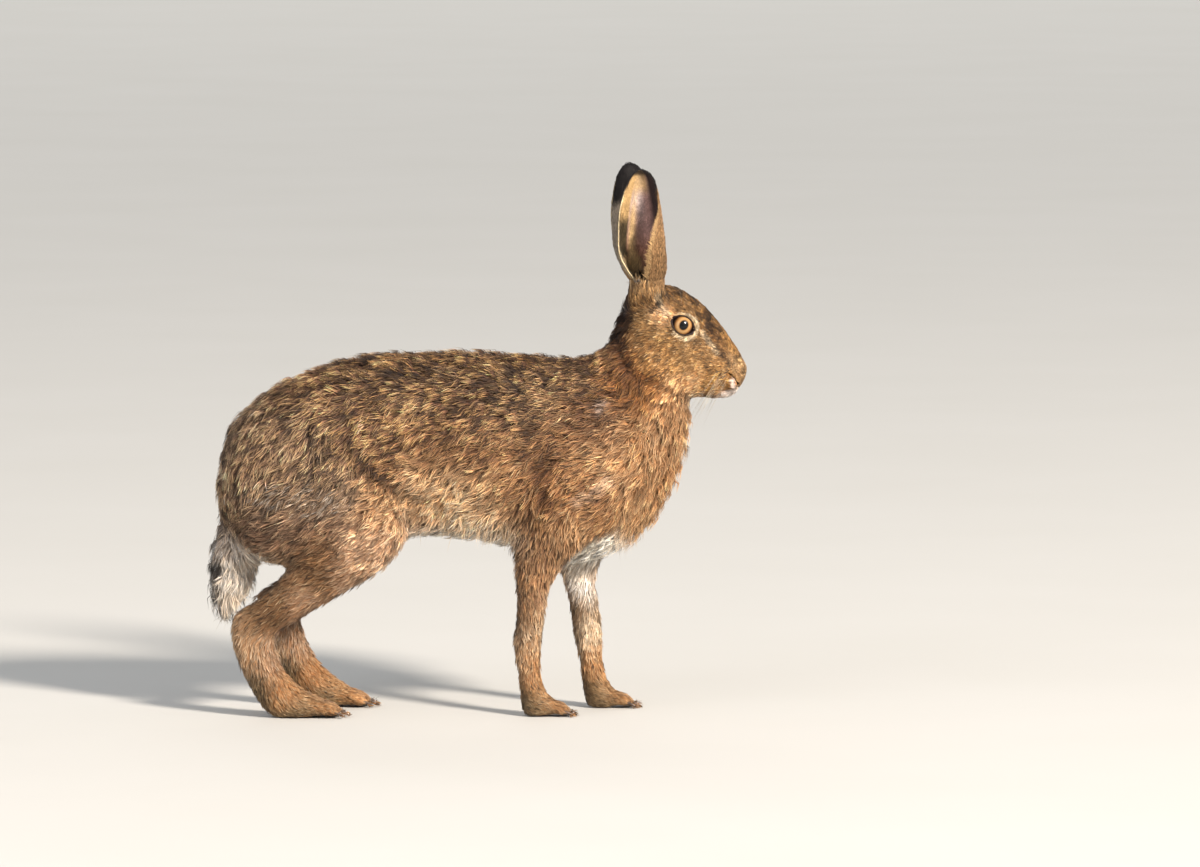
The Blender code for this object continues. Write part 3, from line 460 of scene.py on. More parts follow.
# marks seen from the side, as lines of x, z
coatMarks = (
    # note, line, half width, colour, strength, share of black tufts, on the head
    ("pale streak before the eye", ((197, 336), (203, 328), (210, 318)), 2.0, "#e6cfac", 0.55, 0.3, True),
    ("ticks over the streak", ((203, 341), (209, 331), (216, 320), (219, 310)),
     2.8, "#7a5226", 0.5, 0.62, True),
    ("pale line behind the eye", ((166, 353), (160, 360), (157, 367)), 2.6, "#e4d0ae", 0.45, 0.2, True),
    ("tick behind the eye", ((157, 362), (153, 355)), 1.6, "#3a2718", 0.6, 0.55, True),
    ("nostril wing", ((223.2, 293.4), (224.6, 288.4)), 1.7, "#f4ddd2", 0.9, 0.0, True),
    ("lip", ((229, 286.6), (223, 283.2), (214, 280.2)), 2.2, "#f6e4da", 0.95, 0.0, True),
    ("lip under the pad", ((212, 281), (200, 280)), 2.6, "#a8794a", 0.7, 0.2, True),
    # painted shade: the fold between the jaw and the neck is coloured darker, as its shadow
    ("painted shade in the jaw crease", ((120, 342), (123, 327), (131, 309), (145, 296), (163, 288), (182, 280)),
     3.0, "#5c3a1e", 0.45, 0.1, True),
    ("shade behind the jaw", ((108, 342), (112, 324), (124, 304), (138, 290)),
     8.0, "#4a2d18", 0.6, 0.15, False),
    ("shoulder patch", ((111, 272), (106, 266)), 3.2, "#c9ae9c", 0.65, 0.0, False),
    ("upper arm patch", ((112, 208), (99, 196), (88, 190)), 5.0, "#cfae92", 0.55, 0.0, False),
    # painted shade in the fold between the ribs and the upper arm
    ("painted shade behind the arm", ((62, 232), (57, 210), (60, 190)), 8.0, "#5a3519", 0.6, 0.1, False),
    ("haunch front", ((-46, 194), (-72, 201), (-98, 217), (-112, 244)), 5.0, "#3a2413", 0.5, 0.3, False),
    ("thigh flecks", ((-120, 196), (-150, 193), (-188, 188)), 15.0, "#a3866a", 0.35, 0.12, False),
)


def markCoat(points, bands, shares):
    # lays the marks and the cream ring of the eye over the banding colours
    flat = standardPlace(points)[:, [0, 2]]
    head = ramp(points[:, 0], 112, 120) * ramp(points[:, 2], 268, 276)
    flank = ramp(np.abs(points[:, 1]), 14, 26)
    for _, line, width, colour, strength, ticks, onHead in coatMarks:
        gap = pathDistance(flat, line)[0]
        share = strength * (1 - ramp(gap, width * 0.5, width * 1.6)) * (head if onHead else flank)
        for k, light in enumerate((0.575, 0.9775, 1.2075)):
            bands[:, k] = blendTo(bands[:, k], linear(colour) * light, share[:, None])
        shares[:, 0] = blendTo(shares[:, 0], ticks, share)
        shares[:, 1] = blendTo(shares[:, 1], 0, share)
    local = eyePlace(points)
    rim = rimShare(local)
    angle = np.arctan2(local[:, 1], local[:, 0])
    reach = 1.14 + 0.12 * np.cos(angle) + 0.05 * np.sin(-angle) + 0.03 * np.sin(3 * angle)
    ring = (1 - ramp(rim, reach, reach + 0.18)) * (np.abs(local[:, 2]) < 14) * head
    for k, colour in enumerate(("#b89f7a", "#dac39c", "#eedabb")):
        bands[:, k] = blendTo(bands[:, k], linear(colour), ring[:, None] * 0.68)
    shares *= (1 - ring)[:, None]
    # rows of dark whisker roots across the pad of the muzzle
    rows = np.sin((points[:, 2] - 0.35 * points[:, 0]) * 2 * math.pi / 3.4)
    pad = np.exp(-(((points[:, 0] - 213) / 8) ** 2) - ((points[:, 2] - 300) / 11) ** 2) * head
    shares[:, 0] = np.clip(shares[:, 0] + 0.6 * pad * ramp(rows, 0.1, 0.8), 0, 1)
    return bands, shares


# skin
skinPlan = {
    "voxel": 1.35,
    "overlap": 0.5,  # each node is swollen by this, so the thin gaps between them close
    "faceCalm": 5,
    "bodyCalm": 22,
    "bodyKept": 0.23,  # share of the body's triangles that stays
    "sunk": 0.86,  # how far in the skin lies, of the height of the tips
    "jawGroove": (2.4, 4.5),  # depth and half width of the fold between jaw and neck
}
earFoot = {
    "place": (147.5, 17.5),  # x, and distance from the midline
    "heights": (362, 372),  # over these the hair turns to stand up the ear
    "reach": (17, 21),  # and it goes back to the head's own lie this far out
    "closed": 14.2,  # the tips close in to this distance from the middle
    "stretch": (-0.2, 1.1),  # least and most that is added to the length
    "colours": ("#7a5a38", "#a67f54", "#d6b07e"),
}
nostrilPath = ((219.8, 11, 299.8), (223.2, 10.0, 296.4), (226, 8.4, 292), (227.6, 6.4, 288))
mouthPath = ((233, 0, 286.8), (230, 4, 285.4), (225.5, 8, 284.2), (218, 11, 283.6), (207, 13.5, 285))
cleftPath = ((236.5, 0, 294), (234.8, 0, 289.6), (232.8, 0, 286.8))


def relax(places, edges, share, rounds):
    # each point drifts towards the middle of its neighbours
    a, b = edges.T
    count = np.bincount(edges.ravel(), minlength=len(places))[:, None]
    for _ in range(rounds):
        total = np.empty_like(places)
        for k in range(places.shape[1]):
            total[:, k] = np.bincount(a, places[b, k], len(places))
            total[:, k] += np.bincount(b, places[a, k], len(places))
        places = places + (total / count - places) * (0.5 * share)[:, None]
    return places


def headShare(points):
    # 1 inside an oval round the head as seen from the side, falling to 0 outside it
    x, z = points[:, 0] - 186.6, points[:, 2] - 328.6
    turn = math.radians(23)
    along = (x * math.cos(turn) - z * math.sin(turn)) / 70.4
    across = (x * math.sin(turn) + z * math.cos(turn)) / 50.5
    return np.clip(5.5 - 4.5 * np.hypot(along, across), 0, 1)


def withModifiers(obj):
    graph = bpy.context.evaluated_depsgraph_get()
    mesh = bpy.data.meshes.new_from_object(obj.evaluated_get(graph))
    obj.modifiers.clear()
    obj.data = mesh
    return obj


def writePlaces(mesh, places):
    mesh.vertices.foreach_set("co", (places * mm).astype(np.float32).ravel())
    mesh.update()


def largestShell(bm):
    # keeps the largest connected surface and drops sealed pockets
    todo, best = set(bm.verts), []
    while todo:
        group, edge = [], [todo.pop()]
        while edge:
            vert = edge.pop()
            group.append(vert)
            for link in vert.link_edges:
                other = link.other_vert(vert)
                if other in todo:
                    todo.discard(other)
                    edge.append(other)
        if len(group) > len(best):
            best = group
    keep = set(best)
    bmesh.ops.delete(bm, geom=[v for v in bm.verts if v not in keep], context="VERTS")


def fusedFlesh():
    # one closed skin round every node of flesh but the leaves of the ears
    bm = bmesh.new()
    for name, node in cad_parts.items():
        if not name.startswith("ear_"):
            bm.from_mesh(node.data)
    bmesh.ops.remove_doubles(bm, verts=bm.verts, dist=0.01 * mm)
    bm.normal_update()
    moved = [(v, v.co + v.normal * skinPlan["overlap"] * mm) for v in bm.verts]
    for vert, place in moved:
        vert.co = place
    mesh = bpy.data.meshes.new("skin")
    bm.to_mesh(mesh)
    bm.free()
    obj = bpy.data.objects.new("skin", mesh)
    bpy.context.scene.collection.objects.link(obj)
    remesh = obj.modifiers.new("Fuse", "REMESH")
    remesh.mode = "VOXEL"
    remesh.voxel_size = skinPlan["voxel"] * mm
    withModifiers(obj)
    bm = bmesh.new()
    bm.from_mesh(obj.data)
    largestShell(bm)
    bm.to_mesh(obj.data)
    bm.free()
    return obj


def sinkSkin(obj):
    # smooths the fused form and sets it in by the depth of the coat over it
    places, _, _, edges = meshArrays(obj.data)
    everywhere = np.ones(len(places))
    body = 1 - headShare(places)
    places = relax(places, edges, everywhere, skinPlan["faceCalm"])
    places = relax(places, edges, body, skinPlan["bodyCalm"])
    writePlaces(obj.data, places)
    normals = meshArrays(obj.data)[1]
    coat = coatAt(places)
    depth = skinPlan["overlap"] + coat["length"] * coat["stand"] * skinPlan["sunk"]
    depth = relax(depth[:, None], edges, everywhere, 16)[:, 0]
    groove = next(mark[1] for mark in coatMarks if mark[0] == "painted shade in the jaw crease")
    sink, width = skinPlan["jawGroove"]
    gap = pathDistance(places[:, [0, 2]], groove)[0]
    depth += sink * np.exp(-((gap / width) ** 2)) * ramp(np.abs(places[:, 1]), 8, 18)
    places = relax(places - normals * depth[:, None], edges, everywhere, 2)
    writePlaces(obj.data, places)


def thinBody(obj):
    places = meshArrays(obj.data)[0]
    group = obj.vertex_groups.new(name="body")
    body = 1 - headShare(places)
    for k, share in enumerate(body):
        if share > 0.01:
            group.add([k], float(share), "REPLACE")
    thin = obj.modifiers.new("Thin", "DECIMATE")
    thin.ratio = skinPlan["bodyKept"]
    thin.vertex_group = "body"
    withModifiers(obj)
    obj.vertex_groups.clear()


def refineMuzzle(obj):
    # finer mesh where the nostrils and the mouth are carved
    lines = [[(x, 0, z) for x, _, z in path] for path in (nostrilPath, mouthPath)]
    bm = bmesh.new()
    bm.from_mesh(obj.data)
    for reach in (15.0, 9.0):
        points = np.array([v.co[:] for v in bm.verts]) / mm
        flat = points * (1, 0, 1)
        near = np.min([pathDistance(flat, line)[0] for line in lines], axis=0) < reach
        bm.verts.index_update()
        edges = [e for e in bm.edges if near[e.verts[0].index] and near[e.verts[1].index]]
        bmesh.ops.subdivide_edges(bm, edges=edges, cuts=1, use_grid_fill=True, smooth=0.3)
    bmesh.ops.triangulate(bm, faces=bm.faces)
    bm.to_mesh(obj.data)
    bm.free()


def carveMuzzle(obj):
    # nostrils like commas, the cleft of the lip and the line of the mouth; returns the painted shade that
    # darkens each point inside these hollows
    places, normals, triangles, edges = meshArrays(obj.data)
    folded = places * (1, 0, 1) + np.abs(places) * (0, 1, 0)
    tree = searchTree(places, triangles)
    depth = np.zeros(len(places))
    dark = np.zeros(len(places))
    for path, widths, sink, paintedShade in (
        (nostrilPath, (0.6, 1.0, 1.3, 1.1), 3.6, 1.0),
        (mouthPath, (0.7, 0.8, 0.8, 0.7, 0.4), 1.5, 0.55),
        (cleftPath, (0.6, 0.7, 0.7), 1.2, 0.5),
    ):
        laid = [np.array(tree.find_nearest(Vector((x, -y, z)))[0]) * (1, -1, 1) for x, y, z in path]
        gap, along = pathDistance(folded, laid)
        width = np.interp(along, np.linspace(0, 1, len(widths)), widths)
        share = np.exp(-((gap / width) ** 2))
        depth += share * sink
        dark = np.maximum(dark, ramp(share, 0.12, 0.5) * paintedShade)
    # the skin behind the eye goes well under the eyeball
    for side in sides.values():
        centre, axes = eyeAxes(side)
        local = (places - centre) @ axes.T
        share = (1 - ramp(rimShare(local), 0.82, 1.02)) * (local[:, 2] > -2)
        places = places - axes[2] * (3.5 * share)[:, None]
    # the chin falls back under the lip
    chin = ramp(places[:, 0], 196, 218) * (1 - ramp(places[:, 2], 277, 286))
    places[:, 0] -= 5.0 * chin
    # each ear's foot narrows to meet the leaf that stands in it
    foot = np.array(earFoot["place"])
    flat = np.stack([places[:, 0], np.abs(places[:, 1])], 1) - foot
    narrow = 0.15 * ramp(places[:, 2], 362, 382) * (1 - ramp(np.hypot(*flat.T), 22, 30))
    places[:, 0] -= flat[:, 0] * narrow
    places[:, 1] -= flat[:, 1] * narrow * np.sign(places[:, 1])
    places[:, 2] = np.maximum(places[:, 2], 0.2)
    wing = np.exp(-((np.linalg.norm(folded - (222.5, 10.5, 291.5), axis=1) / 2.4) ** 2))
    places = places - normals * (depth - 0.5 * wing)[:, None]
    writePlaces(obj.data, relax(places, edges, np.full(len(places), 0.4) * ramp(depth, 0.02, 0.2), 1))
    return dark


skin = fusedFlesh()
print("skin fused", len(skin.data.polygons))
sinkSkin(skin)
thinBody(skin)
refineMuzzle(skin)
muzzleDark = carveMuzzle(skin)
print("skin carved", len(skin.data.polygons))


# ears
earPlan = {
    "base": (*earFoot["place"], 381),
    "tip": {"right": (142.5, 29, 479), "left": (131.5, 28, 481.5)},
    "turn": 22,  # degrees the cup faces to the rear
    "levels": 64,
    "around": 48,
    "thickness": 1.5,
    "root": -0.09,  # the leaf starts this share of its height inside the head
}
# Share of the height: half width, then degrees from the back of the cup to the rear
# edge and to the front edge
earProfile = {
    0.00: (15.0, 160, 166),
    0.10: (18.6, 142, 155),
    0.22: (21.0, 120, 146),
    0.36: (21.9, 107, 135),
    0.52: (21.0, 97, 119),
    0.68: (19.3, 86, 92),
    0.81: (16.9, 74, 74),
    0.91: (13.2, 62, 62),
    0.97: (8.6, 52, 52),
    1.00: (3.4, 40, 40),
}


def earLeaf(word, levels, around):
    # middle surface of one ear: places, share of the height, and -1 rear edge to 1 front edge
    side = sides[word]
    base = np.array(earPlan["base"]) * (1, side, 1)
    tip = np.array(earPlan["tip"][word]) * (1, side, 1)
    up = (tip - base) / np.linalg.norm(tip - base)
    turn = math.radians(earPlan["turn"])
    opening = np.array((-math.sin(turn), side * math.cos(turn), 0))
    opening -= up * (opening @ up)
    opening /= np.linalg.norm(opening)
    forward = np.cross(up, opening) * -side
    shares = list(earProfile)
    widths, rears, fronts = np.array(list(earProfile.values()), float).T
    rise = 1 - (1 - np.linspace(0, 1, levels)) ** 1.3
    rise = earPlan["root"] + rise * (1 - earPlan["root"])
    turnShare = np.linspace(-1, 1, around)
    t, q = np.meshgrid(rise, turnShare, indexing="ij")
    width = np.interp(t, shares, widths)
    rear, front = np.radians(np.interp(t, shares, rears)), np.radians(np.interp(t, shares, fronts))
    a = np.where(q < 0, q * rear, q * front)
    radius = width / np.sin(np.minimum(rear, math.pi / 2))
    depth = radius * (0.8 + 0.12 * np.clip(t, 0, 1))
    setBack = 0.38 * np.clip(t / 0.3, 0, 1)
    bend = np.where(np.abs(a) < math.pi / 2, np.cos(a), 0.72 * np.cos(a))
    # a soft fold runs up the cup, and the front flap sags a little
    fold = 1.5 * np.exp(-(((q + 0.4) / 0.1) ** 2)) * ramp(t, 0.08, 0.2) * (1 - ramp(t, 0.7, 0.9))
    sag = ramp(np.abs(q), 0.75, 1) * ramp(t, 0.15, 0.3) * (1 - ramp(t, 0.7, 0.95))
    fold = fold + 0.9 * np.sin(t * 15 + q * 2) * sag
    bow = 3.5 * np.sin(math.pi * np.clip(t, 0, 1))
    middle = base + (tip - base) * t[..., None] + opening * bow[..., None]
    middle = middle + forward * (np.sin(a) * radius * np.where(a < 0, 0.88, 1))[..., None]
    middle = middle + opening * (fold - (bend - setBack) * depth)[..., None]
    return middle, t, q, opening


def earShell(word):
    # closes the leaf into a thin shell: outer sheet, inner sheet and the rim between them
    middle, t, q, opening = earLeaf(word, earPlan["levels"], earPlan["around"])
    rows, columns = t.shape
    alongUp, alongRound = np.gradient(middle, axis=0), np.gradient(middle, axis=1)
    out = np.cross(alongUp, alongRound)
    out /= np.linalg.norm(out, axis=2, keepdims=True)
    if (out[rows // 2, columns // 2] @ opening) > 0:
        out = -out
    half = earPlan["thickness"] / 2 * (1 - 0.45 * ramp(t, 0.3, 1)) * (1 - 0.35 * np.abs(q) ** 6)
    outer, inner = middle + out * half[..., None], middle - out * half[..., None]
    return {"outer": outer, "inner": inner, "out": out, "t": t, "q": q}


def gridFaces(rows, columns):
    index = np.arange(rows * columns).reshape(rows, columns)
    return np.stack([index[:-1, :-1], index[:-1, 1:], index[1:, 1:], index[1:, :-1]], -1).reshape(-1, 4)


def shellFaces(rows, columns, flip):
    # both sheets of the leaf and the four strips that join their borders
    sheet = gridFaces(rows, columns)
    count = rows * columns
    index = np.arange(count).reshape(rows, columns)
    border = np.concatenate([index[0, :], index[1:, -1], index[-1, -2::-1], index[-2:0:-1, 0]])
    after = np.roll(border, -1)
    strip = np.stack([border, border + count, after + count, after], -1)
    faces = np.concatenate([sheet, sheet[:, ::-1] + count, strip])
    return faces[:, ::-1] if flip else faces


earColours = {
    "flap": "#a98258",
    "outerFront": "#84623f",
    "outerRear": "#a89884",
    "black": "#17110f",
    "olive": "#403420",
    "ridge": "#c8a574",
    "pink": "#96736a",
    "lowPink": "#9c6c56",
    "greyHair": "#b3a8a2",
    # painted shade: the hollow of the cup under its front fold and at its foot
    "paintedCupShade": "#2e1e1d",
    "cream": "#d8c299",
    "tipHair": "#bd9a68",
}


def earTint(t, q, outer):
    # colour of the ear by height and by place round the cup
    tone = {name: linear(colour) for name, colour in earColours.items()}
    t, q = t[:, None], q[:, None]
    front = blendTo(tone["outerFront"], tone["flap"], ramp(q, 0.45, 0.72))
    outside = blendTo(tone["outerRear"], front, ramp(q, -0.15, 0.15))
    outside = blendTo(tone["flap"] * 0.9, outside, ramp(t, 0.0, 0.22))
    blackFrom = t + 0.06 * (q < 0.3) - 0.12 * ramp(q, 0.3, 0.6)
    outside = blendTo(outside, tone["black"], ramp(blackFrom, 0.66, 0.76))
    inside = blendTo(tone["lowPink"], tone["pink"], ramp(t, 0.2, 0.5))
    inside = blendTo(inside, tone["greyHair"], 0.6 * ramp(t, 0.45, 0.75) * (1 - ramp(q, -0.25, 0.1)))
    # painted shade over the front of the inside, where the flap shadows the cup
    inside = blendTo(inside, tone["paintedCupShade"], ramp(q, 0.04, 0.32))
    frontHair = ramp(q, 0.5, 0.7) * ramp(t, 0.55, 0.65) * (1 - ramp(t, 0.75, 0.85))
    inside = blendTo(inside, tone["outerFront"], 0.5 * frontHair)
    # painted shade in the bottom of the cup
    inside = blendTo(inside, tone["paintedCupShade"], 0.85 * (1 - ramp(t, 0.04, 0.2)) * ramp(q, -0.3, -0.05))
    ridge = np.exp(-(((q + 0.4) / 0.1) ** 2)) * ramp(t, 0.04, 0.1) * (1 - 0.6 * ramp(t, 0.55, 0.75))
    inside = blendTo(inside, tone["ridge"], ridge)
    inside = blendTo(inside, tone["ridge"], (1 - ramp(t, 0.14, 0.24)) * (1 - ramp(q, -0.3, -0.1)))
    strip = (1 - ramp(q, -0.58, -0.48)) * ramp(t, 0.14, 0.2)
    inside = blendTo(inside, blendTo(tone["olive"], tone["tipHair"], ramp(t, 0.5, 0.66)), strip)
    inside = blendTo(inside, tone["tipHair"], 0.8 * ramp(t, 0.74, 0.86) * (1 - ramp(q, 0.0, 0.3)))
    inside = blendTo(inside, tone["black"], 0.9 * ramp(t, 0.93, 0.97))
    edge = (1 - ramp(q, -0.985, -0.95)) * (1 - ramp(t, 0.7, 0.85))
    colour = np.where(outer[:, None], outside, inside)
    colour = blendTo(colour, tone["cream"], edge)
    topEdge = ramp(np.abs(q), 0.86, 0.94) * ramp(t, 0.8, 0.88)
    return blendTo(colour, tone["black"], topEdge)


ears = {word: earShell(word) for word in sides}


def skinMaterial():
    # hide with short underfur: matt, mottled at hair scale, which shows as fine grain in any gap
    settings = {"Roughness": 0.72, "Specular IOR Level": 0.25, "Sheen Weight": 0.08}
    material, tree, shader = newMaterial("hide with underfur", settings)
    place = addNode(tree, "ShaderNodeTexCoord")
    hairGrain = {"Scale": 0.9 / mm, "Detail": 3.0, "Roughness": 0.65}  # 0.9 grains to a millimetre
    hair = addNode(tree, "ShaderNodeTexNoise", hairGrain, {"Vector": (place, "Object")})
    mottle = {"Scale": 0.13 / mm, "Detail": 2.0}  # a patch about every 8 mm
    patch = addNode(tree, "ShaderNodeTexNoise", mottle, {"Vector": (place, "Object")})
    both = addNode(tree, "ShaderNodeMath", {"operation": "MULTIPLY"}, {0: (hair, "Fac"), 1: (patch, "Fac")})
    paintCoatColours(tree, shader, (both, "Value"), (0.12, 0.4, 0.6, 1.3), (hair, "Fac"), (0.5, 0.4))
    return material


def finishSkin():
    # colours the skin as the coat over it and joins the leaves of the ears to it
    places, _, triangles, _ = meshArrays(skin.data)
    coat = coatAt(places)
    bands = markCoat(places, coat["bands"], coat["shares"])[0]
    depth = np.clip((coat["length"] - 4) / 8, 0, 1)[:, None]
    colour = blendTo(bands[:, 1] * 0.9, blendTo(bands[:, 0], bands[:, 1], 0.35), depth)
    grain = softNoise(places, 3, 5) * 0.18 + softNoise(places, 11, 6) * 0.15
    colour = colour * (1 + grain)[:, None]
    # painted shade: near black in the nostrils, the mouth line and the cleft of the lip
    colour = blendTo(colour, linear("#0d0807"), muzzleDark[:, None])
    meshes, colours, count = [places], [colour], len(places)
    faces = [triangles]
    for word, ear in ears.items():
        rows, columns = ear["t"].shape
        quads = shellFaces(rows, columns, word == "right")
        faces.append(np.concatenate([quads[:, [0, 1, 2]], quads[:, [0, 2, 3]]]) + count)
        outer = np.arange(rows * columns * 2) < rows * columns
        meshes.append(np.concatenate([ear["outer"].reshape(-1, 3), ear["inner"].reshape(-1, 3)]))
        tint = earTint(np.tile(ear["t"].ravel(), 2), np.tile(ear["q"].ravel(), 2), outer)
        colours.append(tint * (1 + 0.15 * softNoise(meshes[-1], 4, 8))[:, None])
        count += len(meshes[-1])
    bpy.data.objects.remove(skin)
    obj = meshObject("skin", np.concatenate(meshes), np.concatenate(faces), skinMaterial())
    setColours(obj, "coatColour", np.clip(np.concatenate(colours), 0, 1))
    return obj


skinArrays = meshArrays(skin.data)
skin = finishSkin()
flesh = [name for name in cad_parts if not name.startswith("eye_")]
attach(skin, "root")
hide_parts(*flesh)
print("skin and ears", len(skin.data.polygons), "triangles")


# the unwrap that the coat's bake map uses
def unwrapSkin():
    # a coarse copy of the skin, unwrapped; each tuft's patch lies at its root's place on it
    places, _, triangles, _ = skinArrays
    obj = meshObject("unwrap", places, triangles, skin.data.materials[0])
    thin = obj.modifiers.new("Thin", "DECIMATE")
    thin.ratio = 7000 / len(triangles)
    thin.use_collapse_triangulate = True
    withModifiers(obj)
    bpy.context.view_layer.objects.active = obj
    obj.select_set(True)
    bpy.ops.object.mode_set(mode="EDIT")
    bpy.ops.mesh.select_all(action="SELECT")
    bpy.ops.uv.smart_project(angle_limit=math.radians(66), island_margin=0.004)
    bpy.ops.object.mode_set(mode="OBJECT")
    layer = obj.data.uv_layers[0]
    corners = np.empty(len(obj.data.loops) * 2, np.float32)
    layer.uv.foreach_get("vector", corners)
    coarse, _, faces, _ = meshArrays(obj.data)
    bpy.data.objects.remove(obj)
    return coarse, faces, corners.reshape(-1, 3, 2)


def bakePlace(points, unwrap):
    coarse, faces, corners = unwrap
    tree = searchTree(coarse, faces)
    hits = [tree.find_nearest(Vector(p)) for p in points]
    spots, index = np.array([hit[0] for hit in hits]), np.array([hit[2] for hit in hits])
    a, b, c = (coarse[faces[index, k]] for k in range(3))
    normal = np.cross(b - a, c - a)
    area = (normal**2).sum(1)
    u = (np.cross(c - b, spots - b) * normal).sum(1) / area
    v = (np.cross(a - c, spots - c) * normal).sum(1) / area
    share = np.stack([u, v, 1 - u - v], 1)
    return (share[:, :, None] * corners[index]).sum(1)


# the coat
coatPlan = {
    "seed": 11,
    "lightness": 0.5,
    "thickShare": 0.55,  # thickness of a tuft for its width
    "curved": ("back", "flank", "haunch", "chest", "tail"),
    "strays": 0.03,  # share of single long hairs that stand out of the coat
    "pieces": {  # tufts, and the name of a slot
        "back": (45000, "fur_back"),
        "flank": (27000, "fur_flank"),
        "haunch": (36000, "fur_back"),
        "chest": (36000, "fur_flank"),
        "hindLeg": (25000, "fur_leg"),
        "foreLeg": (23000, "fur_leg"),
        "tail": (6500, "fur_tail"),
        "head": (70000, "fur_flank"),
    },
    "bakePatch": 0.003,  # width of a tuft's patch on the bake map
}


def coatMaterial():
    # guard hairs in fine locks: each lock shows strands, a soft gleam and a matt root
    settings = {"Roughness": 0.62, "Specular IOR Level": 0.22, "Sheen Weight": 0.05}
    material, tree, shader = newMaterial("banded guard hair", settings)
    strand = addNode(tree, "ShaderNodeUVMap", {"uv_map": "strand"})
    stretch = {"operation": "MULTIPLY", 1: (6.0, 0.7, 1.0)}  # about six strands across each tuft
    spread = addNode(tree, "ShaderNodeVectorMath", stretch, {0: (strand, "UV")})
    grain = {"Scale": 1.0, "Detail": 2.0, "Roughness": 0.6}
    hairs = addNode(tree, "ShaderNodeTexNoise", grain, {"Vector": (spread, "Vector")})
    paintCoatColours(tree, shader, (hairs, "Fac"), (0.3, 0.7, 0.6, 1.35), (hairs, "Fac"), (0.3, 0.1))
    return material


furMaterial = coatMaterial()


def scatter(places, triangles, density, count, rng):
    # random spots on the surface, spread evenly: triangle numbers and corner shares
    corners = places[triangles]
    area = np.linalg.norm(np.cross(corners[:, 1] - corners[:, 0], corners[:, 2] - corners[:, 0]), axis=1) / 2
    cells = np.floor(corners.mean(1) / 5).astype(int)
    order = np.lexsort((cells[:, 2], cells[:, 1], cells[:, 0]))
    total = np.cumsum((area * density)[order])
    targets = (np.arange(count) + rng.random(count)) / count * total[-1]
    picked = order[np.searchsorted(total, targets).clip(0, len(order) - 1)]
    r1, r2 = np.sqrt(rng.random(count)), rng.random(count)
    return picked, np.stack([1 - r1, r1 * (1 - r2), r1 * r2], 1)


def tuftObject(name, tufts, bake, material, curved):
    # Each tuft is closed and widest at its middle. A short one is a straight sliver of 4
    # points and 4 triangles; a long, curved one is a bent spindle of 5 points and 6.
    base, bend, tip, up = tufts["base"], tufts["bend"], tufts["tip"], tufts["up"]
    count = len(base)
    ahead = unit(tip - base)
    across = unit(np.cross(up, ahead))
    ridge = np.cross(ahead, across)
    width, thick = tufts["width"][:, None], coatPlan["thickShare"] * tufts["width"][:, None]
    soft = unit(up * 0.7 + ridge)
    if curved:
        middle, roundness = ((-0.5, -0.3), (0.5, -0.3), (0.0, 0.7)), 2.0
        pattern = ((0, 2, 1), (1, 2, 4), (0, 3, 2), (2, 3, 4), (0, 1, 3), (3, 1, 4))
    else:
        rise = ((bend - base) * ridge).sum(1)[:, None]
        bend = bend + ridge * (np.clip(rise, thick * 0.4, width * 0.9) - rise)
        middle, roundness = ((-0.5, 0.0), (0.5, 0.0)), 1.1
        pattern = ((0, 1, 2), (1, 3, 2), (0, 3, 1), (0, 2, 3))
    points = [base, *(bend + across * x * width + ridge * y * thick for x, y in middle), tip]
    # rounded across each hair, and otherwise lit as the coat it lies in
    normals = [soft, *(soft + across * roundness * x for x, y in middle), soft + ahead * 0.3]
    size = len(points)
    pattern = np.array(pattern)
    faces = (np.arange(count)[:, None, None] * size + pattern[None]).reshape(-1, 3)
    obj = meshObject(name, np.stack(points, 1).reshape(-1, 3), faces, material)
    obj.data.normals_split_custom_set_from_vertices(unit(np.stack(normals, 1).reshape(-1, 3)))
    bands = tufts["bands"][:, [0] + [1] * len(middle) + [2]]
    setColours(obj, "coatColour", np.clip(bands.reshape(-1, 3), 0, 1))
    local = np.array([(0.5, 0)] + [(0.5 + x, 0.45) for x, y in middle] + [(0.5, 1)])[pattern.ravel()]
    strand = local[None] + tufts["offset"][:, None, :]
    patch = bake[:, None, :] + (local[None] - 0.5) * coatPlan["bakePatch"]
    setCornerMap(obj, "strand", strand.reshape(-1, 2))
    setCornerMap(obj, "OFBake", np.clip(patch, 0.0005, 0.9995).reshape(-1, 2))
    obj.data.uv_layers.active = obj.data.uv_layers["strand"]
    return obj


def landTips(roots, normals, ahead, length, height, surface):
    # where each tip comes down: over the skin that lies ahead of its root
    reach = roots + ahead * length[:, None]
    tips = reach + normals * height[:, None]
    for k, point in enumerate(reach):
        spot, normal, _, gap = surface.find_nearest(Vector(point))
        if gap < 0.5 * length[k]:
            tips[k] = np.array(spot) + np.array(normal) * height[k]
    return tips


class Holes:
    # tells which points keep clear of the carved nostrils
    def __init__(self, places, reach):
        self.reach = reach
        self.tree = KDTree(len(places))
        for k, place in enumerate(places):
            self.tree.insert(Vector(place), k)
        self.tree.balance()

    def query(self, points):
        return np.array([self.tree.find(Vector(p))[2] > self.reach for p in points])


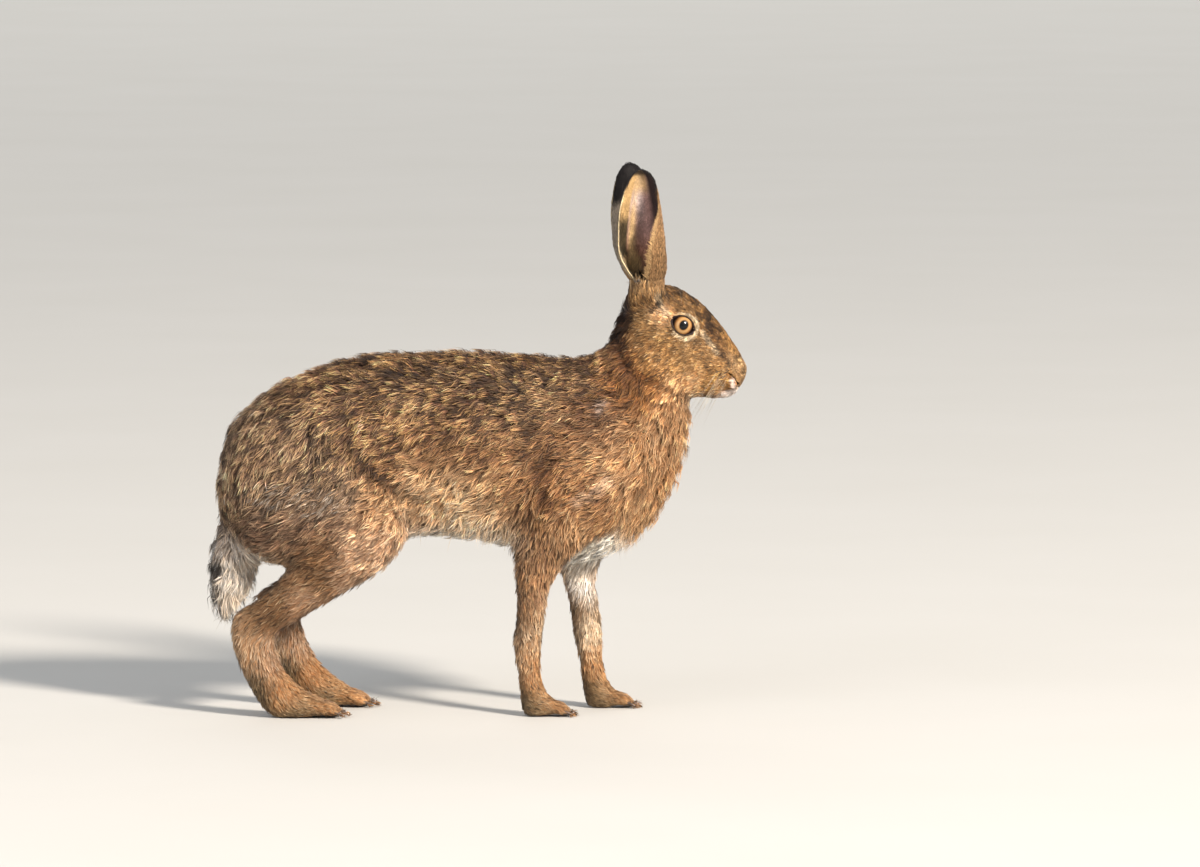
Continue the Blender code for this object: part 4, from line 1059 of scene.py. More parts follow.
def growCoat():
    rng = np.random.default_rng(coatPlan["seed"])
    places, normals, triangles, _ = skinArrays
    centres = places[triangles].mean(1)
    coat = coatAt(centres)
    surface = searchTree(places, triangles)
    unwrap = unwrapSkin()
    local = eyePlace(centres)
    faceNormal = unit(normals[triangles].sum(1))
    bare = (rimShare(local) < 0.94) & (np.abs(local[:, 2]) < 16)
    bare |= muzzleDark[triangles].max(1) > 0.4
    footX, footY = earFoot["place"]
    stub = np.hypot(centres[:, 0] - footX, np.abs(centres[:, 1]) - footY) < 20
    bare |= stub & (centres[:, 2] > 379) & (faceNormal[:, 2] > 0.3)
    bare |= (centres[:, 2] < 2.2) & (faceNormal[:, 2] < -0.6)
    holes = Holes(places[muzzleDark > 0.85], 0.6)
    fineness = 1 / coat["length"] ** 1.6
    for number, group in enumerate(pieceGroups):
        density = fineness * ((coat["group"] == number) & ~bare)
        count, slot = coatPlan["pieces"][group]
        picked, share = scatter(places, triangles, density, count, rng)
        roots = (places[triangles[picked]] * share[:, :, None]).sum(1)
        up = unit((normals[triangles[picked]] * share[:, :, None]).sum(1))
        tufts = dressRoots(roots, up, group, surface, rng)
        if group == "head":
            clear = holes.query(tufts["tip"]) & holes.query(tufts["bend"])
            tufts = {key: value[clear] for key, value in tufts.items()}
            roots = roots[clear]
        bake = bakePlace(roots, unwrap)
        for word, side in sides.items():
            half = (roots[:, 1] < 0) == (side < 0)
            name = "coat_" + group + "_" + word
            mine = {key: value[half] for key, value in tufts.items()}
            obj = tuftObject(name, mine, bake[half], furMaterial, group in coatPlan["curved"])
            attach(obj, "root")
            print(name, len(obj.data.polygons), "triangles")


def locksOf(points, spacing, rng):
    # gathers the roots into locks: the lock of each root, and the root at each lock's heart
    order = rng.permutation(len(points))
    cells = np.floor(points[order] / spacing).astype(int)
    hearts = order[np.unique(cells, axis=0, return_index=True)[1]]
    tree = KDTree(len(hearts))
    for k, heart in enumerate(hearts):
        tree.insert(Vector(points[heart]), k)
    tree.balance()
    spread = points + rng.normal(0, spacing * 0.16, points.shape)
    return np.array([tree.find(Vector(p))[1] for p in spread]), hearts


# How tufts differ from each other. Turn, lift, sway and shade each have three spreads: from
# large lock to large lock, from small lock to small lock, and from tuft to tuft.
tuftPlan = {
    "smallLock": (1.1, 0.055),  # width of a lock: so many mm, and so much of the usual length
    "largeLock": (1.6, 0.3),
    # share of the way that tips lean to their lock's heart, if it is within this share of their length
    "smallPull": (0.38, 0.5),
    "largePull": (0.3, 0.8),
    "length": (0.76, 1.2),  # least and most, of the length that the zones give
    "turn": (0.2, 0.16, 0.1),  # radians off the lie
    "lift": (0.4, 0.16, 0.2),
    "sway": (0.05, 0.05, 0.03),
    "shade": (0.2, 0.2, 0.2),
    "uneven": {"tail": 0.5, "back": 1.25, "haunch": 1.15, "hindLeg": 0.4, "foreLeg": 0.4},
    "width": (0.27, 0.012),  # mm, and share of the length
    "smooth": ("hindLeg", "foreLeg"),  # thinner hair, hardly gathered into locks
    "wisps": (0.42, 0.22, 0.1),  # share of hanging hairs at the belly, the breast and the thigh
    "wispColour": "#e8bd88",
    "creamTips": ((1, "#dcb98a", 0.4), (2, "#f6d5a8", 0.6)),
    "blackened": (0.6, 0.22, 0.16),  # what is left of root, middle and tip in a black tuft
    "fleckColour": "#dccbb6",
}


def partRoundEye(roots, up, lie):
    # the hair of the face parts round the eye
    local = eyePlace(roots)
    for side in sides.values():
        centre = eyeAxes(side)[0]
        mine = (roots[:, 1] < 0) == (side < 0)
        away = roots[mine] - centre
        near = np.clip(1.9 - rimShare(local[mine]), 0, 1)[:, None]
        away = unit(away - up[mine] * (away * up[mine]).sum(1)[:, None])
        against = np.minimum((lie[mine] * away).sum(1), 0)[:, None]
        lie[mine] = lie[mine] + away * near * (0.22 - against * 1.05)


def wispChance(places):
    # wisps hang free from the edges of the belly, the breast and the thigh
    x, y, z = places.T
    belly = ramp(x, -66, -54) * (1 - ramp(x, 34, 42)) * (1 - ramp(z, 166, 178)) * ramp(y, 20, 30)
    breast = ramp(x, 108, 128) * (1 - ramp(z, 186, 214)) * (z > 150)
    thigh = ramp(z, 142, 150) * (1 - ramp(z, 160, 170)) * (1 - ramp(x, -84, -72))
    thigh = thigh * ramp(x, -100, -90) * (y > 40)
    atBelly, atBreast, atThigh = tuftPlan["wisps"]
    return atBelly * belly + atBreast * breast + atThigh * thigh


def gatherLocks(tips, length, stray, spread, locks, gather):
    # tips lean to the tip at the heart of their lock
    for (lock, hearts), key in zip(locks, ("largePull", "smallPull")):
        pull, reach = tuftPlan[key]
        heartTips = tips[hearts][lock]
        near = (np.linalg.norm(heartTips - tips, axis=1) < reach * length) & ~stray
        share = np.clip(gather * pull * (1 + 0.3 * spread), 0, 0.8) * near
        tips = tips + (heartTips - tips) * share[:, None]
    return tips


def closeOnEar(tips, earAxis, foot, spread):
    # the tips round the foot of an ear close in on it
    reach = np.linalg.norm(tips[:, :2] - earAxis, axis=1)
    close = np.minimum(1, (earFoot["closed"] + 0.8 * np.abs(spread)) / np.maximum(reach, 1))
    shut = foot * ramp(tips[:, 2], 375, 382)
    tips[:, :2] = earAxis + (tips[:, :2] - earAxis) * blendTo(1, close, shut)[:, None]


def shadeBands(roots, bands, uneven, shade, spread):
    # darker and lighter, then warmer and cooler, from lock to lock and from place to place
    byPlace = 0.15 * softNoise(roots, 30, 33) + uneven * 0.18 * softNoise(roots, 7, 35)
    bands *= np.exp(uneven * shade + byPlace)[:, None, None]
    warm = 0.05 * spread + 0.06 * softNoise(roots, 14, 34)
    bands *= np.exp(warm[:, None] * np.array((0.6, -0.1, -1.0)))[:, None, :]


def tickBands(roots, places, bands, shares, stray, inSmall, rng):
    # black tufts come in small patches, cream tips singly and by lock
    patch = 1.1 * softNoise(roots, 6, 31) + 0.4 * softNoise(roots, 16, 32) + 0.5 * inSmall[:, 3]
    black = rng.random(len(roots)) < np.clip(shares[:, 0] * (1 + 3.2 * patch), 0, 1)
    pale = np.clip(shares[:, 1] * (1 - 0.8 * patch) + 0.6 * stray, 0, 1)
    cream = ~black & (rng.random(len(roots)) < pale)
    bands[black] *= np.array(tuftPlan["blackened"])[None, :, None]
    for band, colour, share in tuftPlan["creamTips"]:
        bands[cream, band] = blendTo(bands[cream, band], linear(colour), share)
    # whitish flecks low on the thigh, a lock at a time
    x, y, z = places.T
    fleck = ramp(1.3 - np.hypot((x + 152) / 42, (z - 194) / 14), 0, 0.5) * (y > 30)
    fleck = fleck * (inSmall[:, 4] > 1.0) * 0.55
    bands[:, 1:] = blendTo(bands[:, 1:], linear(tuftPlan["fleckColour"]), fleck[:, None, None])


def dressRoots(roots, up, group, surface, rng):
    # turns bare roots into tufts: lie, locks, length, banding and ticking
    count = len(roots)
    coat = coatAt(roots)
    seen = roots + coat["lie"] * (0.5 * coat["length"])[:, None]
    over = coatAt(seen)
    bands, shares = markCoat(seen, over["bands"], over["shares"])
    undercoat = np.clip(1.25 - coat["length"] / 13, 0.2, 0.8)[:, None]
    bands[:, 0] = blendTo(bands[:, 0], bands[:, 1], undercoat)
    usual = coat["length"].mean()
    small, smallHearts = locksOf(roots, tuftPlan["smallLock"][0] + tuftPlan["smallLock"][1] * usual, rng)
    large, largeHearts = locksOf(roots, tuftPlan["largeLock"][0] + tuftPlan["largeLock"][1] * usual, rng)
    inSmall = rng.normal(0, 1, (len(smallHearts), 5))[small]
    inLarge = rng.normal(0, 1, (len(largeHearts), 5))[large]
    own = rng.normal(0, 1, (count, 6))
    smooth, curved = group in tuftPlan["smooth"], group in coatPlan["curved"]

    def vary(key, column, ownColumn):
        byLarge, bySmall, byTuft = tuftPlan[key]
        return byLarge * inLarge[:, column] + bySmall * inSmall[:, column] + byTuft * own[:, ownColumn]

    stray = rng.random(count) < coatPlan["strays"] * np.clip((coat["length"] - 5) / 8, 0, 1)
    loose = np.clip((coat["length"] - 3) / 9, 0.3, 1.15)
    length = coat["length"] * rng.uniform(*tuftPlan["length"], count) * np.where(stray, 1.3, 1)
    turn = vary("turn", 0, 0)
    turn += 0.3 * softNoise(roots, 27, 21) + 0.22 * softNoise(roots, 12, 22)
    turn *= loose
    lie = coat["lie"]
    if group == "head":
        partRoundEye(roots, up, lie)
    # at the foot of each ear the hair stands up the ear and closes in on it
    footX, footY = earFoot["place"]
    earAxis = np.stack([np.full(count, footX), footY * np.sign(roots[:, 1])], 1)
    fromAxis = np.linalg.norm(roots[:, :2] - earAxis, axis=1)
    foot = ramp(roots[:, 2], *earFoot["heights"]) * (1 - ramp(fromAxis, *earFoot["reach"]))
    length = length * (1 + foot * rng.uniform(*earFoot["stretch"], count))
    for k, colour in enumerate(earFoot["colours"]):
        bands[:, k] = blendTo(bands[:, k], linear(colour), 0.6 * foot[:, None])
    lie = blendTo(lie, np.array((0.0, 0.0, 1.0)), foot[:, None])
    lie = unit(lie - up * (lie * up).sum(1)[:, None])
    across = np.cross(up, lie)
    lie = lie * np.cos(turn)[:, None] + across * np.sin(turn)[:, None]
    lift = 1 + vary("lift", 1, 1)
    flatter = 0.72 if group == "head" else 1
    height = length * coat["stand"] * flatter * np.clip(lift, 0.2, 1.9) * np.where(stray, 0.9, 1)
    tips = landTips(roots, up, lie, length, height, surface)
    locks = (large, largeHearts), (small, smallHearts)
    tips = gatherLocks(tips, length, stray, own[:, 2], locks, 0.4 if smooth else 1)
    closeOnEar(tips, earAxis, foot, own[:, 1])
    flat = standardPlace(roots)
    wisp = rng.random(count) < wispChance(flat)
    wisp &= (group in ("flank", "chest", "haunch")) & (up[:, 2] < 0.5)
    droop = unit(np.array((-0.16, 0, -1.0)) + up * 0.4 + 0.1 * own[:, :3])
    tips[wisp] = (roots + droop * (length * rng.uniform(0.9, 1.25, count))[:, None])[wisp]
    thin = stray | wisp
    sway = across * (vary("sway", 2, 3) * length)[:, None]
    arch = (height * 0.4 + length * 0.03) * np.where(thin, 0.12, 1)
    bend = roots + (tips - roots) * 0.46 + up * arch[:, None] + sway * ~stray[:, None]
    width = tuftPlan["width"][0] + tuftPlan["width"][1] * coat["length"]
    width = width * (1.2 if curved else 0.85 if smooth else 1) * np.exp(0.25 * own[:, 5])
    tickBands(roots, flat, bands, shares, stray, inSmall, rng)
    shadeBands(roots, bands, tuftPlan["uneven"].get(group, 1), vary("shade", 3, 4), own[:, 5])
    bands[wisp] = blendTo(bands[wisp], linear(tuftPlan["wispColour"]), 0.4)
    pale = ramp(bands.mean(2), 0.35, 0.8)[..., None]
    bands *= coatPlan["lightness"] * (1 + 0.6 * pale)
    # nothing goes through the floor
    bend[:, 2], tips[:, 2] = np.maximum(bend[:, 2], 0.6), np.maximum(tips[:, 2], 0.3)
    base = roots - up * 0.2 * np.minimum(length / 6, 1.5)[:, None]
    base[:, 2] = np.maximum(base[:, 2], 0.3)
    return {
        "base": base,
        "bend": bend,
        "tip": tips,
        "up": up,
        "width": width * np.where(thin, 0.5, 1),
        "bands": bands,
        "offset": rng.integers(0, 60, (count, 2)).astype(float) + rng.random((count, 2)),
    }


growCoat()


# fur of the ears
earFur = {
    "seed": 23,
    "lightness": 0.69,
    "tufts": {"outside": 9000, "inside": 4400, "frontFringe": 1200, "rearFringe": 900},
    "length": 4.4,
    "fringeShares": {"frontFringe": (0.1, 0.74), "rearFringe": (0.1, 0.9)},  # of the ear's height
    "fringeDepth": 1.6,  # columns of the leaf that a fringe takes in from the edge
    "ticked": 0.2,  # share of dark tufts towards the front of the outside
}


def earSpots(kind, count, ear, rng):
    # the rows and columns of the leaf at which tufts of this kind stand
    rows, columns = ear["t"].shape
    if kind in ("outside", "inside"):
        height = earPlan["root"] + rng.random(count * 2) ** 1.1 * (1 - earPlan["root"])
        i, j = np.interp(height, ear["t"][:, 0], np.arange(rows)), rng.random(count * 2) * (columns - 1)
        widths = [row[0] for row in earProfile.values()]
        size = np.interp(ear["t"][i.astype(int), 0], list(earProfile), widths)
        keep = rng.random(count * 2) < size / 22  # fewer where the leaf is narrow
        return i[keep][:count], j[keep][:count]
    i = rng.uniform(*earFur["fringeShares"][kind], count) * (rows - 1)
    edge, inward = (columns - 1.001, -1) if kind == "frontFringe" else (0.001, 1)
    return i, edge + rng.uniform(0, earFur["fringeDepth"], count) * inward


def growEarFur(word):
    rng = np.random.default_rng(earFur["seed"] + len(word))
    ear = ears[word]
    parts = []
    for kind, count in earFur["tufts"].items():
        i, j = earSpots(kind, count, ear, rng)
        sheet = ear["inner"] if kind == "inside" else ear["outer"]
        roots, t, q = (gridAt(grid, i, j) for grid in (sheet, ear["t"][..., None], ear["q"][..., None]))
        t, q = t[:, 0], q[:, 0]
        out = unit(gridAt(ear["out"], i, j)) * (-1 if kind == "inside" else 1)
        lift = unit(gridAt(np.gradient(sheet, axis=0), i, j))
        across = unit(gridAt(np.gradient(sheet, axis=1), i, j))
        size = earFur["length"] * rng.uniform(0.7, 1.25, len(t)) * (1.25 - 0.55 * ramp(t, 0, 1))
        lean = rng.normal(0, 0.14, len(t)) + 0.25 * softNoise(roots, 14, 41)
        height = size * 0.13 * rng.uniform(0.5, 1.6, len(t))
        if kind == "frontFringe":
            # the fringe of the flap stands back over the opening
            lean = lean + 0.8
            size = size * rng.uniform(0.8, 1.4, len(t))
            height = size * rng.uniform(0.02, 0.2, len(t))
        elif kind == "rearFringe":
            lean = lean - 0.12
            size = size * 0.5
            height = height * 0.5
        elif kind == "inside":
            low = (1 - ramp(t, 0.18, 0.32)) * (1 - ramp(q, -0.35, -0.05))
            size = size * blendTo(0.7, 1.5, low)
            height = size * rng.uniform(0.02, 0.14, len(t)) * blendTo(1, 2.2, low)
            lean = lean + np.where(q > -0.5, 0.3, -0.3) * ramp(t, 0.1, 0.5)
        ahead = lift * np.cos(lean)[:, None] + across * np.sin(lean)[:, None]
        tips = roots + ahead * size[:, None] + out * height[:, None]
        tint = earTint(t, q, np.full(len(t), kind != "inside"))
        tone = linear(earColours["ridge" if kind == "frontFringe" else "cream"])
        if kind == "frontFringe":
            tint = blendTo(tint, tone, 0.6 * (1 - ramp(t, 0.66, 0.74))[:, None])
        if kind == "rearFringe":
            tint = blendTo(tint, tone, (1 - ramp(t, 0.8, 0.9))[:, None])
        dark = earFur["ticked"] * ramp(q, -0.2, 0.4)
        ticked = rng.random(len(t)) < np.where(kind == "outside", dark, 0.0)
        uneven = 0.1 if kind == "inside" else 0.2
        shade = np.exp(uneven * rng.normal(0, 1, len(t)) + 0.15 * softNoise(roots, 8, 42))
        rootTone, tipTone = (1.0, 1.08) if kind == "inside" else (0.7, 1.3)
        bands = np.stack([tint * rootTone, tint, tint * tipTone], 1) * shade[:, None, None]
        bands[ticked] *= 0.35
        bands *= earFur["lightness"]
        # on the bake map the inside has the upper half and the rest the lower half
        mapAcross = (q + 1) * 0.24 + (0.51 if kind == "inside" else 0.01)
        part = {
            "base": roots - out * 0.2,
            "bend": roots + ahead * (size * 0.5)[:, None] + out * (height * 0.9 + 0.12)[:, None],
            "tip": tips,
            "up": out,
            "width": 0.14 + size * 0.055,
            "bands": bands,
            "offset": rng.integers(0, 60, (len(t), 2)).astype(float),
            "bake": np.stack([np.clip(t, 0, 1) * 0.94 + 0.02, mapAcross], 1),
        }
        parts.append(part)
    tufts = {key: np.concatenate([part[key] for part in parts]) for key in parts[0]}
    bake = tufts.pop("bake")
    obj = tuftObject("coat_ear_" + word, tufts, bake, furMaterial, False)
    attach(obj, "root")
    print(obj.name, len(obj.data.polygons), "triangles")


def gridAt(grid, i, j):
    # value of a grid between its rows and columns
    a, b = np.clip(i.astype(int), 0, grid.shape[0] - 2), np.clip(j.astype(int), 0, grid.shape[1] - 2)
    s, t = (i - a)[:, None], (j - b)[:, None]
    low = blendTo(grid[a, b], grid[a, b + 1], t)
    high = blendTo(grid[a + 1, b], grid[a + 1, b + 1], t)
    return blendTo(low, high, s)


for word in sides:
    growEarFur(word)


# eyes
def eyeMaterial():
    # wet eyeball: amber iris with fine radial fibres and a dark rim under a clear glossy coat
    settings = {"Roughness": 0.35, "Specular IOR Level": 0.08}
    wet = {"Coat Weight": 0.8, "Coat Roughness": 0.03, "Coat IOR": 1.34}
    material, tree, shader = newMaterial("wet cornea over amber iris", {**settings, **wet})
    place = addNode(tree, "ShaderNodeAttribute", {"attribute_name": "gaze"})
    oval = {"operation": "MULTIPLY", 1: (1.08, 0.92, 0.0)}
    flat = addNode(tree, "ShaderNodeVectorMath", oval, {0: (place, "Vector")})
    reach = addNode(tree, "ShaderNodeVectorMath", {"operation": "LENGTH"}, {0: (flat, "Vector")})
    spoke = addNode(tree, "ShaderNodeVectorMath", {"operation": "NORMALIZE"}, {0: (flat, "Vector")})
    fan = addNode(tree, "ShaderNodeVectorMath", {"operation": "SCALE", "Scale": 9.0}, {0: (spoke, "Vector")})
    slow = addNode(tree, "ShaderNodeVectorMath", {"operation": "SCALE", "Scale": 0.35}, {0: (flat, "Vector")})
    both = {0: (fan, "Vector"), 1: (slow, "Vector")}
    mixed = addNode(tree, "ShaderNodeVectorMath", {"operation": "ADD"}, both)
    fibres = {"Scale": 2.4, "Detail": 4.0, "Roughness": 0.6}
    fibre = addNode(tree, "ShaderNodeTexNoise", fibres, {"Vector": (mixed, "Vector")})
    limits = {"From Min": 0.3, "From Max": 0.7, "To Min": -0.2, "To Max": 0.2}
    shift = addNode(tree, "ShaderNodeMapRange", limits, {"Value": (fibre, "Fac")})
    wavy = addNode(tree, "ShaderNodeMath", {"operation": "ADD"}, {0: (reach, "Value"), 1: (shift, "Result")})
    share = addNode(tree, "ShaderNodeMath", {"operation": "DIVIDE", 1: 10.0}, {0: (wavy, "Value")})
    bands = addNode(tree, "ShaderNodeValToRGB", links={"Fac": (share, "Value")})
    stops = (
        (0.0, "#050506"),
        (0.375, "#060506"),
        (0.4, "#3f2a16"),
        (0.44, "#8d673c"),
        (0.55, "#a68154"),
        (0.7, "#946a3a"),
        (0.79, "#6d4724"),
        (0.84, "#3a2414"),
        (0.89, "#170f0b"),
        (1.0, "#110b09"),
    )
    elements = bands.color_ramp.elements
    for at, _ in stops[1:-1]:
        elements.new(at)
    for element, (_, colour) in zip(elements, stops):
        element.color = (*linear(colour), 1)
    tree.links.new(bands.outputs["Color"], shader.inputs["Base Color"])
    return material


def eyeball(word, material):
    # a ball with the cornea swelling a little over the iris
    side = sides[word]
    centre, axes = eyeAxes(side)
    rings, around, radius = eyePlan["rings"], eyePlan["around"], eyePlan["radius"]
    polar = np.linspace(0, math.pi, rings + 1)[1:-1]
    turn = np.linspace(0, 2 * math.pi, around, endpoint=False)
    p, a = np.meshgrid(polar, turn, indexing="ij")
    swell = 1 + eyePlan["cornea"] * (1 - ramp(np.degrees(p), 34, 58))
    local = np.stack([np.sin(p) * np.cos(a), np.sin(p) * np.sin(a), np.cos(p)], -1)
    local = (local * (radius * swell)[..., None]).reshape(-1, 3)
    poles = np.array(((0, 0, radius * (1 + eyePlan["cornea"])), (0, 0, -radius)))
    quads, index, after = ringFaces(rings - 1, around)
    faces = np.concatenate([quads[:, [0, 1, 2]], quads[:, [0, 2, 3]]])
    top, bottom = len(local), len(local) + 1
    caps = [np.stack([np.full(around, top), index[0], after[0]], 1)]
    caps.append(np.stack([np.full(around, bottom), after[-1], index[-1]], 1))
    local = np.concatenate([local, poles])
    faces = np.concatenate([faces, *caps])
    if np.linalg.det(axes) < 0:
        faces = faces[:, ::-1]
    obj = meshObject("eyeball_" + word, centre + local @ axes, faces, material)
    gaze = obj.data.attributes.new("gaze", "FLOAT_VECTOR", "POINT")
    gaze.data.foreach_set("vector", local.astype(np.float32).ravel())
    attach(obj, "root")
    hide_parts("eye_" + word)
    return obj


def lidMaterial():
    # bare lid margin: near-black wet skin, finely creased
    settings = {"Roughness": 0.6, "Specular IOR Level": 0.25, "Coat Weight": 0.05, "Coat Roughness": 0.3}
    material, tree, shader = newMaterial("moist lid margin", settings)
    place = addNode(tree, "ShaderNodeTexCoord")
    creases = {"Scale": 1.6 / mm, "Detail": 3.0}  # 1.6 creases to a millimetre
    crease = addNode(tree, "ShaderNodeTexNoise", creases, {"Vector": (place, "Object")})
    paintCoatColours(tree, shader, (crease, "Fac"), (0.0, 1.0, 0.7, 1.3), (crease, "Fac"), (0.4, 0.15))
    return material


lidPlan = {
    "around": 72,
    # rings of the bare lid: share of the way from the opening to the rim, and lift off the eyeball
    "bare": ((-0.35, -1.6), (-0.12, -0.1), (0.0, 0.42), (0.22, 0.85), (0.55, 0.8), (0.85, 0.25)),
    "furred": ((1.15, 0.25), (2.1, -0.25), (2.9, -1.4)),  # the same share, and lift off the skin
    "bareColours": ("#140c0a", "#24130f", "#22120e", "#1e100d", "#23140f", "#2c1c13"),
    "furredColours": ("#b89b70", "#c9ae80", "#b8935c"),
}


def lids(word, material):
    # a rim round the eye's opening, pointed at both corners, that runs out under the fur
    side = sides[word]
    centre, axes = eyeAxes(side)
    tree = searchTree(skinArrays[0], skinArrays[2])
    a = np.linspace(0, 2 * math.pi, lidPlan["around"], endpoint=False)
    point = np.abs(np.cos(a)) ** 7  # 1 at the corners of the slit
    length, height = eyePlan["opening"]
    x = np.cos(a) * length * (1 + 0.10 * point)
    y = np.sin(a) * height * (1 - 0.12 * point) * np.where(np.sin(a) > 0, 0.96, 1.04)
    inner = np.stack([x, y], 1)
    length, height = eyePlan["rim"]
    x = np.cos(a) * length * (1 + 0.16 * point)
    y = np.sin(a) * height * (1 - 0.25 * point)
    outer = np.stack([x, y], 1)
    radius = eyePlan["radius"] * 1.03
    level = np.sqrt(np.maximum(radius**2 - (inner**2).sum(1), 1.0))
    loops = []
    for share, lift in lidPlan["bare"]:
        spot = inner + (outer - inner) * share
        loops.append(np.concatenate([spot, (level + lift)[:, None]], 1))
    shells = [centre + loop @ axes for loop in loops]
    for share, lift in lidPlan["furred"]:
        spot = inner + (outer - inner) * share
        rough = centre + np.concatenate([spot, (level - 1.5 * share)[:, None]], 1) @ axes
        laid = [tree.find_nearest(Vector(p)) for p in rough]
        shells.append(np.array([np.array(h[0]) + np.array(h[1]) * lift for h in laid]))
    points = np.concatenate(shells)
    faces, index, after = ringFaces(len(shells), lidPlan["around"])
    # the underside closes the lid into a solid
    under = np.stack([index[-1], index[0], after[0], after[-1]], -1)
    faces = np.concatenate([faces, under])
    if np.linalg.det(axes) < 0:
        faces = faces[:, ::-1]
    obj = meshObject("lids_" + word, points, faces, material)
    tones = np.array([linear(c) for c in lidPlan["bareColours"] + lidPlan["furredColours"]])
    setColours(obj, "coatColour", np.repeat(tones, lidPlan["around"], axis=0))
    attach(obj, "root")
    return obj


irisMaterial, rimMaterial = eyeMaterial(), lidMaterial()
for word in sides:
    eyeball(word, irisMaterial)
    lids(word, rimMaterial)
print("eyes and lids done")


# whiskers and claws: one tree of tapered, drooping stems
def stemTree():
    tree = bpy.data.node_groups.new("tapered stems", "GeometryNodeTree")
    face = tree.interface
    face.new_socket("Geometry", in_out="INPUT", socket_type="NodeSocketGeometry")
    for name, kind in (
        ("Thickness", "NodeSocketFloat"),
        ("Taper", "NodeSocketFloat"),
        ("Steps", "NodeSocketInt"),
        ("Sides", "NodeSocketInt"),
        ("Material", "NodeSocketMaterial"),
    ):
        face.new_socket(name, in_out="INPUT", socket_type=kind)
    face.new_socket("Geometry", in_out="OUTPUT", socket_type="NodeSocketGeometry")
    given = addNode(tree, "NodeGroupInput")
    stem = addNode(tree, "GeometryNodeCurvePrimitiveLine", {"End": (0.0, 0.0, 1.0)})
    steps = {"Curve": (stem, "Curve"), "Count": (given, "Steps")}
    stem = addNode(tree, "GeometryNodeResampleCurve", links=steps)
    aim = addNode(tree, "GeometryNodeInputNamedAttribute", {"data_type": "FLOAT_VECTOR", "Name": "aim"})
    turn = addNode(tree, "FunctionNodeAlignRotationToVector", {"axis": "Z"}, {"Vector": (aim, "Attribute")})
    reach = addNode(tree, "GeometryNodeInputNamedAttribute", {"data_type": "FLOAT", "Name": "reach"})
    stand = {"Points": (given, "Geometry"), "Instance": (stem, "Curve")}
    stand.update({"Rotation": (turn, "Rotation"), "Scale": (reach, "Attribute")})
    standing = addNode(tree, "GeometryNodeInstanceOnPoints", links=stand)
    loose = addNode(tree, "GeometryNodeRealizeInstances", links={"Geometry": (standing, "Instances")})
    share = addNode(tree, "GeometryNodeSplineParameter")
    bend = addNode(tree, "ShaderNodeMath", {"operation": "POWER", 1: 1.8}, {0: (share, "Factor")})
    droop = addNode(tree, "GeometryNodeInputNamedAttribute", {"data_type": "FLOAT_VECTOR", "Name": "droop"})
    falls = {0: (droop, "Attribute"), "Scale": (bend, "Value")}
    moved = addNode(tree, "ShaderNodeVectorMath", {"operation": "SCALE"}, falls)
    shifted = {"Geometry": (loose, "Geometry"), "Offset": (moved, "Vector")}
    bent = addNode(tree, "GeometryNodeSetPosition", links=shifted)
    left = addNode(tree, "ShaderNodeMath", {"operation": "SUBTRACT", 0: 1.03}, {1: (share, "Factor")})
    slim = addNode(tree, "ShaderNodeMath", {"operation": "POWER"}, {0: (left, "Value"), 1: (given, "Taper")})
    thick = {0: (slim, "Value"), 1: (given, "Thickness")}
    girth = addNode(tree, "ShaderNodeMath", {"operation": "MULTIPLY"}, thick)
    corners = {"Resolution": (given, "Sides")}
    ring = addNode(tree, "GeometryNodeCurvePrimitiveCircle", {"Radius": 1.0}, corners)
    wrap = {"Curve": (bent, "Geometry"), "Profile Curve": (ring, "Curve"), "Scale": (girth, "Value")}
    tube = addNode(tree, "GeometryNodeCurveToMesh", {"Fill Caps": True}, wrap)
    real = addNode(tree, "GeometryNodeRealizeInstances", links={"Geometry": (tube, "Mesh")})
    paint = {"Geometry": (real, "Geometry"), "Material": (given, "Material")}
    painted = addNode(tree, "GeometryNodeSetMaterial", links=paint)
    addNode(tree, "NodeGroupOutput", links={"Geometry": (painted, "Geometry")})
    return tree


def stems(name, rows, sizes, material):
    # rows: root, aim, reach and droop of each stem, in millimetres; returns a plain mesh object
    mesh = bpy.data.meshes.new(name)
    mesh.from_pydata([tuple(np.array(row[0]) * mm) for row in rows], [], [])
    for column, key in enumerate(("aim", "reach", "droop"), start=1):
        kind, field = ("FLOAT", "value") if key == "reach" else ("FLOAT_VECTOR", "vector")
        values = np.array([row[column] for row in rows], np.float32) * (1 if key == "aim" else mm)
        mesh.attributes.new(key, kind, "POINT").data.foreach_set(field, values.ravel())
    obj = bpy.data.objects.new(name, mesh)
    bpy.context.scene.collection.objects.link(obj)
    modifier = obj.modifiers.new("Stems", "NODES")
    modifier.node_group = stemsTree
    for item in stemsTree.interface.items_tree:
        if item.in_out == "INPUT" and item.name in sizes:
            modifier[item.identifier] = sizes[item.name]
        if item.in_out == "INPUT" and item.name == "Material":
            modifier[item.identifier] = material
    withModifiers(obj)
    obj.data.polygons.foreach_set("use_smooth", np.ones(len(obj.data.polygons), bool))
    obj.data.update()
    return obj


